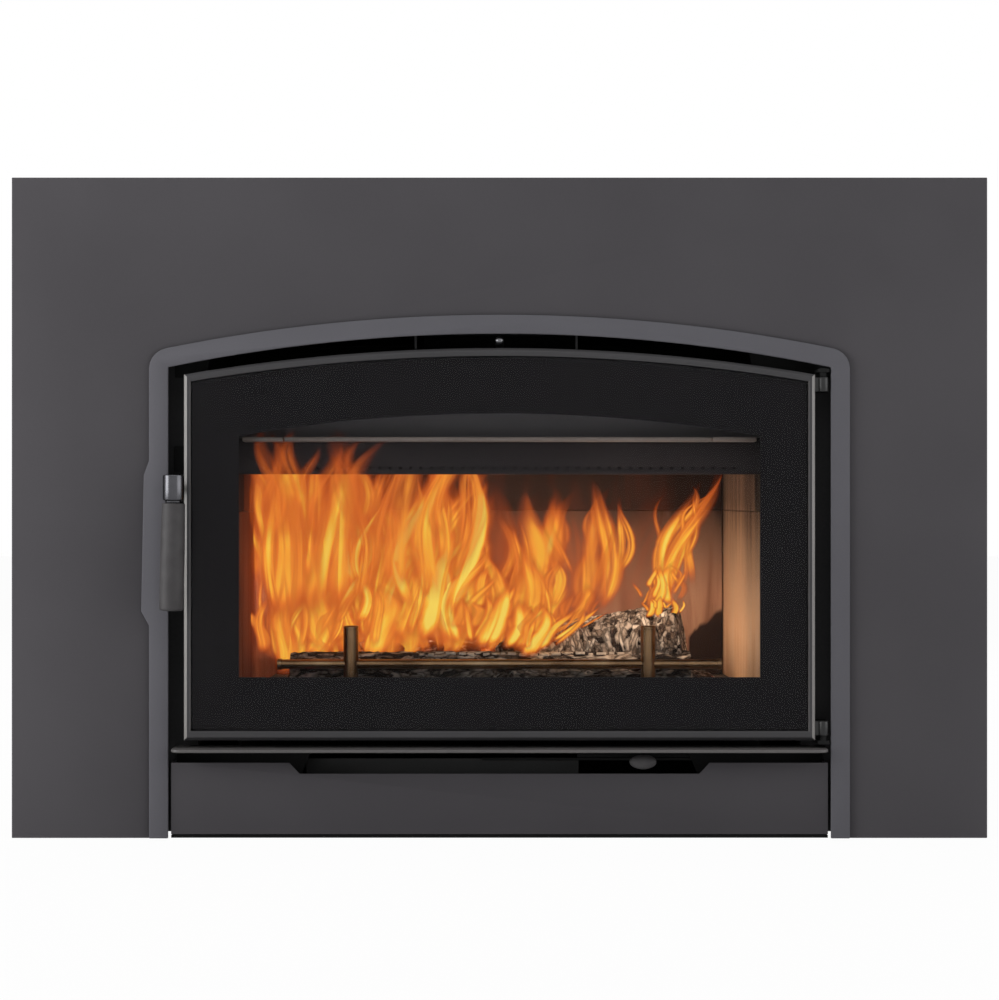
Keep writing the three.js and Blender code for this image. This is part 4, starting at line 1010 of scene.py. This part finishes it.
def logAxis(nodeName):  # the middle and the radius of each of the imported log's two end faces
    points = pointsOf(nodeName)
    low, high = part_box(nodeName)
    band = logSizes["endBand"] * (high.x - low.x)
    ends = []
    for group in ([p for p in points if p.x < low.x + band], [p for p in points if p.x > high.x - band]):
        middle = middleOf(group)
        ends += [middle, max((p - middle).length for p in group)]
    return ends


def barkAt(along, around, radius, seed):  # how deep the crack is here, and how pale the plate is
    across = Vector((math.cos(around), math.sin(around))) * radius
    sizes = logSizes["plate"]
    spot = Vector((along / sizes[0], across.x / sizes[1], across.y / sizes[2]))
    spot += Vector((seed, seed * 0.7, 0))
    warp = noise.noise_vector(spot * 0.35) * 0.9
    inside, cell = cellAt(spot + warp, 0.42)
    return (1 - inside) ** 2, noise.cell(cell * 7.3 + Vector((seed, 0, 0)))


def divideEdges(piece, wanted, cuts):  # cuts every edge whose two ends are as wanted
    bpy.ops.object.mode_set(mode="EDIT")
    bpy.ops.mesh.select_mode(type="EDGE")
    bpy.ops.mesh.select_all(action="DESELECT")
    bpy.ops.object.mode_set(mode="OBJECT")
    points = piece.data.vertices
    for edge in piece.data.edges:
        edge.select = wanted(*(points[number].co for number in edge.vertices))
    bpy.ops.object.mode_set(mode="EDIT")
    bpy.ops.mesh.subdivide(number_cuts=cuts)
    bpy.ops.object.mode_set(mode="OBJECT")


def addLog(nodeName, pale, scales, ember, flat, cut, seed):
    start, startRadius, end, endRadius = logAxis(nodeName)
    length = (end - start).length
    bpy.ops.mesh.primitive_cylinder_add(vertices=logSizes["stepsAround"], radius=1, depth=1,
                                        end_fill_type="TRIFAN")
    log = bpy.context.active_object
    divideEdges(log, lambda a, b: abs(a.z - b.z) > 0.5, int(length / logSizes["stepLength"]) - 1)
    divideEdges(log, lambda a, b: min(a.xy.length, b.xy.length) < 0.01, logSizes["endRings"])
    mesh = log.data
    ash, crackMark = pointMarks(mesh, {"ash": "FLOAT", "crack": "FLOAT"})
    axis = (end - start).normalized()
    turn = upward.rotation_difference(axis)
    flatWay = Vector(flat).normalized()
    level = 1 - cut
    for vertex in mesh.vertices:
        share, out = vertex.co.z + 0.5, vertex.co.xy.length
        around = math.atan2(vertex.co.y, vertex.co.x)
        along = share * length
        radius = startRadius + (endRadius - startRadius) * share
        side, rise = math.cos(around), math.sin(around)
        lump = noise.noise(Vector((along * 9, side * 0.8 + seed, rise * 0.8)))
        ridge = noise.fractal(Vector((along * 60, side * 5, rise * 5 + seed)), 0.8, 2.1, 4)
        crack, tint = barkAt(along, around, radius, seed)
        outward = turn @ Vector((side, rise, 0))
        facing = outward.dot(flatWay)
        shell = radius * (1 - logSizes["lumpShare"] * (1 - lump))
        split = facing * shell > level * radius
        if split:
            shell = level * radius / facing + 0.8 * logSizes["ridge"] * ridge
            crack = max(0.0, abs(math.sin(40 * along + 3 * lump)) ** 18)
            tint = 0.25 + 0.3 * ridge
        shell -= logSizes["crackDepth"] * crack * (0.4 if split else 1) + logSizes["ridge"] * abs(ridge)
        endward = min(along, length - along)
        shell *= 1 - 0.06 * max(0, 1 - endward / logSizes["endEase"]) ** 2
        place = start + axis * along + outward * (shell * out)
        if out < 0.999 and endward < 1e-6:  # on an end face: growth rings, and checks that run outward
            growth = abs(noise.noise(Vector((out * radius * 260, seed, 0))))
            check = abs(noise.noise(Vector((around * 2.6, seed * 3.1, out)))) < logSizes["checkWidth"]
            sunk = (0.5 + growth) * mm + (logSizes["checkDepth"] if check else 0)
            place += axis * (sunk if share < 0.5 else -sunk)
            crack, tint = (1.0 if check else 0.2 * growth), 0.2
        vertex.co = place
        ash[vertex.index].value = tint * (1 - min(1.0, crack * 2.2))
        crackMark[vertex.index].value = min(1.0, crack * 1.2)
    settle(log, nodeName + "_charred")
    inEditMode((bpy.ops.mesh.normals_make_consistent, {"inside": False}))
    smoothOver(log, 50)
    finish = charredBark(nodeName + "Bark", ("1c1613", "45372f"), ("7a6c60", "b3a699", "ece5da"), pale,
                         scales, ember)
    dress(log, finish, "bark", "root", nodeName)


# White flakes of burnt bark along the front log
flakeSizes = {
    "span": (-0.085, 0.206),
    "length": (5 * mm, 12 * mm),
    "gap": (1.5 * mm, 5 * mm),
    "thick": 3.4 * mm,
    "deep": 3 * mm,
    "down": 2.6 * mm,  # below the log's visible crown
    "unevenness": 1.2 * mm,
    "ease": 0.28,
    "sight": Vector((0, 1, -0.064)),  # the way one looks at the crown
    "searchStep": 0.5 * mm,
    "lowest": 0.15,
    "lumps": ((0.177, 0.190), (0.187, 0.1895), (0.197, 0.1905)),
    "lumpSize": 8 * mm,
    "seed": 8,
}


def addFlakes():
    log = bpy.data.objects["log_front_charred"]
    picks = random.Random(flakeSizes["seed"])
    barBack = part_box("andiron_bar")[1].y
    flakes = []

    def seen(x, z):
        return log.ray_cast(Vector((x, barBack, z)), flakeSizes["sight"].normalized())

    def place(x, z, wide, high, deep):
        hit, spot = seen(x, z)[:2]
        if hit:
            size = Vector((wide, deep, high))
            edge = flakeSizes["ease"] * min(size)
            flakes.append(softBlock(spot - size / 2, spot + size / 2, edge, "flake"))

    x, last = flakeSizes["span"]
    while x < last:
        wide = picks.uniform(*flakeSizes["length"])
        middle, z = x + wide / 2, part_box("log_front")[1].z + 10 * mm
        while z > flakeSizes["lowest"] and not seen(middle, z)[0]:
            z -= flakeSizes["searchStep"]
        z -= flakeSizes["down"] + picks.uniform(0, flakeSizes["unevenness"])
        place(middle, z, wide, flakeSizes["thick"], flakeSizes["deep"])
        x += wide + picks.uniform(*flakeSizes["gap"])
    for lumpX, lumpZ in flakeSizes["lumps"]:
        size = flakeSizes["lumpSize"] * picks.uniform(0.8, 1.1)
        place(lumpX, lumpZ, size, size, 0.6 * size)
    print("flakes", len(flakes))
    dress(joinPieces(flakes, "ash_flakes"), ashCrust, "bark", "root")


# Ash bed with coals, in front of the logs and under them
bedSizes = {
    "step": 3.4 * mm,  # of the grid
    "depth": 9 * mm,
    "fromBack": 3 * mm,  # how far the bed stays off the back bricks
    "fromSides": 52 * mm,
    "beforeBar": 14 * mm,
    "rim": 14 * mm,  # where the bed thins out towards its edge
    "humps": 14,  # per metre
    "clod": 9 * mm,
    "aboveFloor": 0.25 * mm,
    "thick": 0.2 * mm,
}
coalSizes = {
    "count": 150,
    "radius": (4.5 * mm, 11 * mm),
    "span": (-0.235, 0.232),
    "fromBar": ((4 * mm, 16 * mm), (20 * mm, 150 * mm)),  # in front of the logs, under them
    "rest": (3 * mm, 9 * mm),
    "stretch": ((0.8, 1.5), (0.7, 1.1), (0.55, 0.9)),
    "seed": 5,
}


def addAshBed():
    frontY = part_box("andiron_bar")[0].y - bedSizes["beforeBar"]
    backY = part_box("back_brick_lower_left")[0].y - bedSizes["fromBack"]
    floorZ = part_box("floor_brick")[1].z + bedSizes["aboveFloor"]
    half = abs(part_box("side_brick_left_lower")[0].x) - bedSizes["fromSides"]
    columns, rows = int(2 * half / bedSizes["step"]), int((backY - frontY) / bedSizes["step"])
    bpy.ops.mesh.primitive_grid_add(x_subdivisions=columns, y_subdivisions=rows, size=1)
    bed = bpy.context.active_object
    ash, crackMark = pointMarks(bed.data, {"ash": "FLOAT", "crack": "FLOAT"})
    for vertex in bed.data.vertices:
        x = vertex.co.x * 2 * half
        y = frontY + (vertex.co.y + 0.5) * (backY - frontY)
        rim = min(1.0, min(half - abs(x), y - frontY, backY - y) / bedSizes["rim"])
        hump = 0.55 + 0.45 * noise.noise(Vector((x * bedSizes["humps"], y * bedSizes["humps"], 3)))
        clod, cell = cellAt(Vector((x, y, 0)) / bedSizes["clod"], 0.5)
        vertex.co = (x, y, floorZ + bedSizes["depth"] * (hump + 0.35 * clod) * max(0.0, rim))
        ash[vertex.index].value = clod * (0.35 + 0.65 * noise.cell(cell * 5.1))
        crackMark[vertex.index].value = max(0.0, 1 - clod * 1.6)
    settle(bed, "ash_bed")
    applyModifier(bed, "SOLIDIFY", {"thickness": bedSizes["thick"], "offset": -1.0})
    smoothOver(bed, 45)
    finish = charredBark("ashBed", ("1a1614", "3a322d"), ("5b544e", "8f877f", "c9c2b8"), 0.6, (1, 1, 1), 0.3)
    dress(bed, finish, "bark", "root")


def addCoals():
    spots = random.Random(coalSizes["seed"])
    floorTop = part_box("floor_brick")[1].z
    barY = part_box("andiron_bar")[0].y
    coals = []
    for number in range(coalSizes["count"]):
        size = spots.uniform(*coalSizes["radius"])
        under = int(number % 3 == 0)
        x = spots.uniform(*coalSizes["span"])
        y = barY + spots.uniform(*coalSizes["fromBar"][under])
        bpy.ops.mesh.primitive_ico_sphere_add(subdivisions=2, radius=size, location=(0, 0, 0))
        coal = bpy.context.active_object
        ash, crackMark = pointMarks(coal.data, {"ash": "FLOAT", "crack": "FLOAT"})
        stretch = Vector([spots.uniform(*limits) for limits in coalSizes["stretch"]])
        pale = spots.random()
        for vertex in coal.data.vertices:
            spot = vertex.co / size * 1.4 + Vector((number * 3.7, 0, 0))
            crack = 1 - cellAt(spot, 0.35)[0]
            form = vertex.co * (0.86 + 0.2 * noise.noise(spot * 1.3) - 0.12 * crack)
            vertex.co = (form.x * stretch.x, form.y * stretch.y, max(-size * 0.5, form.z * stretch.z))
            ash[vertex.index].value = pale * (1 - crack)
            crackMark[vertex.index].value = crack * (1 - pale)
        coal.location = (x, y, floorTop + size * 0.55 + coalSizes["rest"][under])
        coal.rotation_euler = (0, 0, spots.uniform(0, math.tau))
        coals.append(coal)
    bed = joinPieces(coals, "coals")
    smoothOver(bed, 40)
    finish = charredBark("coal", ("120f0d", "352c27"), ("6b645d", "a9a199", "ece6dd"), 0.55,
                         (0.6, 0.6, 0.6), 0.3)
    dress(bed, finish, "bark", "root")


for logName, logKind in logKinds.items():
    addLog(logName, *logKind)
addFlakes()
addAshBed()
addCoals()
print("logs and ash ready")


# Flames: see-through ribbons; each row gives foot (x, z), tip (x, z), width, bow to the right and depth in
# mm, then the heat. The haze is wide dim sheets just in front of the back bricks: partly flame haze, partly
# painted glow for the fire's light on the bricks. The ghosts are faint tips that lick up in front of the air
# manifold.
flameTongues = [
    (-264, 172, -276, 408, 34, 10, 130, 0.8), (-260, 174, -266, 290, 44, 10, 110, 0.9),
    (-248, 195, -274, 432, 78, -10, 136, 0.84), (-236, 195, -256, 434, 90, 30, 166, 0.8),
    (-214, 195, -232, 434, 86, -30, 146, 0.8), (-196, 195, -146, 432, 80, -50, 132, 0.94),
    (-170, 195, -128, 430, 80, -24, 156, 0.86), (-142, 195, -143, 424, 76, 22, 140, 0.9),
    (-118, 195, -104, 430, 84, -22, 134, 0.92), (-92, 200, -74, 432, 86, 20, 150, 0.98),
    (-66, 203, -22, 430, 84, -28, 138, 1.0), (-46, 203, -34, 404, 62, 12, 160, 0.94),
    (-14, 206, 5, 318, 52, 14, 170, 0.9), (12, 208, 56, 412, 62, 16, 176, 0.98),
    (24, 220, 46, 404, 60, 6, 160, 0.96), (-258, 232, -268, 500, 76, 10, 86, 0.86),
    (-236, 236, -246, 505, 84, -10, 84, 0.9), (-214, 240, -214, 500, 88, 14, 87, 0.82),
    (-184, 246, -168, 495, 80, -14, 85, 0.78), (-130, 262, -112, 480, 70, 12, 86, 0.66),
    (-78, 262, -48, 490, 70, -12, 85, 0.84), (22, 210, 42, 340, 56, 10, 150, 0.96),
    (48, 214, 66, 298, 56, 8, 165, 0.85), (-240, 176, -252, 272, 84, 6, 137, 0.84),
    (-196, 178, -192, 284, 92, -8, 139, 0.84), (-150, 182, -150, 290, 90, 8, 136, 0.84),
    (-106, 188, -98, 288, 84, -6, 138, 0.84), (-64, 194, -56, 284, 80, 6, 137, 0.84),
    (-20, 198, -10, 276, 70, 6, 120, 0.8), (20, 200, 34, 262, 60, 6, 115, 0.74),
    (-128, 214, -92, 372, 52, -20, 128, 1.25), (-92, 210, -66, 366, 56, 18, 126, 1.3),
    (-52, 208, -30, 330, 56, -14, 128, 1.3), (-20, 206, 4, 290, 50, 12, 114, 1.3),
    (14, 206, 34, 270, 46, 8, 112, 1.2), (-200, 196, -212, 330, 60, -24, 128, 1.15),
    (-232, 190, -196, 306, 54, 20, 128, 1.15), (-170, 280, -152, 412, 40, -18, 93, 1.2),
    (114, 246, 108, 416, 48, 30, 165, 0.9), (108, 244, 142, 408, 40, -6, 172, 0.8),
    (88, 232, 112, 292, 36, 4, 160, 0.66), (200, 258, 237, 416, 36, -10, 146, 1.04),
    (210, 262, 252, 428, 36, -8, 138, 1.02), (178, 256, 186, 296, 18, 4, 108, 1.0),
    (184, 258, 198, 312, 22, 6, 104, 1.05), (204, 258, 214, 318, 22, -6, 106, 1.05),
    (176, 246, 182, 270, 16, 3, 94, 1.15), (190, 246, 196, 274, 16, -3, 92, 1.15),
    (206, 248, 210, 272, 15, 2, 92, 1.1), (-244, 250, -252, 436, 52, -14, 124, 1.2),
    (-196, 240, -178, 430, 50, 26, 122, 1.25), (-108, 250, -92, 426, 48, -18, 122, 1.2),
    (-60, 240, -34, 424, 44, 16, 124, 1.2), (-150, 190, -160, 300, 56, 14, 120, 1.2),
    (34, 198, 52, 268, 36, 6, 82, 1.15), (46, 206, 82, 262, 30, 8, 84, 1.1),
    (62, 216, 128, 262, 18, 4, 96, 1.1),
]
hazeAndBrickGlowTongues = [
    (-225, 200, -250, 432, 190, 10, 315, 0.38), (-160, 200, -150, 432, 200, -20, 325, 0.4),
    (-85, 200, -70, 432, 200, 20, 318, 0.38), (-10, 200, 10, 420, 170, -10, 328, 0.28),
    (60, 200, 90, 408, 140, 10, 320, 0.24), (150, 225, 190, 412, 130, 10, 322, 0.1),
]
ghostTongues = [
    (-268, 330, -266, 474, 60, 3, 29, 0.4), (-240, 330, -236, 472, 64, -4, 31, 0.38),
    (-210, 330, -204, 474, 62, 4, 29.5, 0.4), (-180, 330, -176, 470, 60, 3, 30.5, 0.38),
    (-156, 330, -148, 466, 50, -3, 29, 0.34),
]
flameSizes = {
    "cellsAcross": 8,
    "cellsAlong": 36,
    "strands": 4,  # thinner ribbons that go with each tongue
    "cup": 0.16,  # how far a ribbon's edges curl back, as a share of its width
    "strandShift": 0.6,
    "strandRise": 0.45,
    "strandReach": (0.7, 1.0),
    "strandWidth": (0.35, 0.65),
    "strandHeat": (0.6, 0.95),
    "strandLean": 0.02,
    "strandDepth": (-0.006, 0.014),
    "seed": 20,
}


def flameFinish():
    # Burning wood gas: see-through sheets, dull red where thin, orange in the body, yellow where they overlap
    material = bpy.data.materials.new("flame")
    material.use_nodes = True
    tree = material.node_tree
    tree.nodes.clear()
    profile = addNode(tree, "SeparateXYZ", {0: addNode(tree, "UVMap", {"uv_map": "UVMap"})})
    across, along = profile.outputs[0], profile.outputs[1]
    swirl = addNode(tree, "Attribute", {"attribute_name": "swirl"}).outputs["Vector"]
    heat = addNode(tree, "Attribute", {"attribute_name": "warmth"}).outputs["Fac"]
    sway = addNode(tree, "TexNoise", {
        "Vector": addNode(tree, "Mapping", {"Vector": swirl, "Scale": (16.0, 5.0, 1.0)}), "Scale": 1.0,
        "Detail": 3.0, "Distortion": 0.8,
    })
    thread = addNode(tree, "TexNoise", {
        "Vector": addNode(tree, "Mapping", {"Vector": swirl, "Scale": (56.0, 5.0, 1.0)}), "Scale": 1.0,
        "Detail": 3.0, "Roughness": 0.5, "Distortion": 1.2,
    })
    shifted = addNode(tree, "Math", {"operation": "MULTIPLY_ADD", 0: sway, 1: 0.5, 2: across})
    away = addNode(tree, "Math", {
        "operation": "ABSOLUTE",
        0: addNode(tree, "Math", {"operation": "MULTIPLY_ADD", 0: shifted, 1: 2.0, 2: -1.5}),
    })
    rim = addNode(tree, "Math", {
        "operation": "ABSOLUTE",
        0: addNode(tree, "Math", {"operation": "MULTIPLY_ADD", 0: across, 1: 2.0, 2: -1.0}),
    })
    lifted = addNode(tree, "Math", {"operation": "MULTIPLY_ADD", 0: sway, 1: 0.5, 2: along})
    product = heat
    for value, fade in ((away, (0.92, 0.12)), (rim, (1.0, 0.7)), (lifted, (1.28, 0.86)), (along, (1.0, 0.93)),
                        (along, (0.0, 0.22))):
        product = addNode(tree, "Math", {
            "operation": "MULTIPLY", 0: product,
            1: addNode(tree, "MapRange", {
                "interpolation_type": "SMOOTHSTEP", "Value": value, "From Min": fade[0], "From Max": fade[1],
            }),
        })
    product = addNode(tree, "Math", {
        "operation": "MULTIPLY", 0: product,
        1: addNode(tree, "MapRange", {
            "Value": thread, "From Min": 0.34, "From Max": 0.66, "To Min": 0.45, "To Max": 1.12,
        }),
    })
    cover = addNode(tree, "MapRange", {
        "Value": product, "From Min": 0.0, "From Max": 0.66, "To Min": 0.0, "To Max": 0.94,
    })
    tone = addNode(tree, "ValToRGB", {
        "Fac": product,
        "stops": [
            (0.0, "a43c18"), (0.2, "c8581f"), (0.42, "ea782e"), (0.64, "fa9d38"), (0.84, "ffbe42"),
            (1.0, "ffdc60"),
        ],
    })
    glow = addNode(tree, "Emission", {"Color": tone, "Strength": 1.0})
    clear = addNode(tree, "BsdfTransparent", {"Color": srgb("ffffff")})
    mixed = addNode(tree, "MixShader", {0: cover, 1: clear, 2: glow})
    addNode(tree, "OutputMaterial", {"Surface": mixed})
    return material


def flameRibbon(foot, tip, width, bow, heat, depth, chance, thinness):
    bpy.ops.mesh.primitive_grid_add(x_subdivisions=flameSizes["cellsAcross"],
                                    y_subdivisions=flameSizes["cellsAlong"], size=1, calc_uvs=True)
    ribbon = bpy.context.active_object
    mesh = ribbon.data
    warmth, swirl = pointMarks(mesh, {"warmth": "FLOAT", "swirl": "FLOAT_VECTOR"})
    height, lean = tip[1] - foot[1], tip[0] - foot[0]
    waves, phase = chance.uniform(0.5, 1.1), chance.uniform(0, math.tau)
    sway = chance.uniform(0.012, 0.03) * min(1.0, height / 0.15)
    drift = chance.uniform(-0.004, 0.008)
    yaw = chance.uniform(-0.5, 0.5)
    offset = chance.uniform(0, 40)
    for vertex in mesh.vertices:
        u, v = vertex.co.x + 0.5, vertex.co.y + 0.5
        swell = (0.45 + 0.55 * math.sin(math.pi * min(1.0, v * 1.25 + 0.12))) if v < 0.5 else 1.0
        taper = (1 - max(0.0, (v - 0.4) / 0.6) ** 1.8) ** 0.8 * 0.94 + 0.06 * (1 - v)
        across = (2 * u - 1) * width * swell * taper / 2
        curl = flameSizes["cup"] * width * (2 * u - 1) ** 2
        x = foot[0] + lean * v ** 1.3 + bow * math.sin(math.pi * v)
        x += sway * v * math.sin(phase + waves * math.tau * v)
        vertex.co = (x + across * math.cos(yaw), depth + drift * v + across * math.sin(yaw) + curl,
                     foot[1] + height * v)
        warmth[vertex.index].value = heat
        swirl[vertex.index].vector = (across / thinness + offset, v * height + offset * 0.37, offset)
    return ribbon


def addFlames(name, tongues, strands, chance):
    ribbons = []
    for *places, heat in tongues:
        footX, footZ, tipX, tipZ, width, bow, depth = (place * mm for place in places)
        ribbons.append(flameRibbon((footX, footZ), (tipX, tipZ), width, bow, heat, depth, chance, 1.0))
        for strand in range(strands):
            shift = chance.uniform(-flameSizes["strandShift"], flameSizes["strandShift"]) * width
            rise = chance.uniform(0.0, flameSizes["strandRise"]) * (tipZ - footZ)
            reach = chance.uniform(*flameSizes["strandReach"]) * (tipZ - footZ - rise)
            low = (footX + shift + (tipX - footX) * rise / (tipZ - footZ), footZ + rise)
            lean = chance.uniform(-flameSizes["strandLean"], flameSizes["strandLean"])
            high = (low[0] + (tipX - footX) * 0.6 + lean, low[1] + reach)
            share = chance.uniform(*flameSizes["strandWidth"])
            warm = heat * chance.uniform(*flameSizes["strandHeat"])
            back = depth + chance.uniform(*flameSizes["strandDepth"])
            ribbons.append(flameRibbon(low, high, width * share, bow * chance.uniform(-0.6, 1.0), warm, back,
                                       chance, share))
    flames = joinPieces(ribbons, name)
    print(name, len(ribbons), "ribbons")
    smoothOver(flames, 180)
    return dress(flames, flame, "bark", "root")


flame = flameFinish()
flameChance = random.Random(flameSizes["seed"])
addFlames("flame_haze", hazeAndBrickGlowTongues, 1, flameChance)
addFlames("flame_body", flameTongues, flameSizes["strands"], flameChance)
addFlames("flame_tips", ghostTongues, 1, flameChance)
print("flames ready")
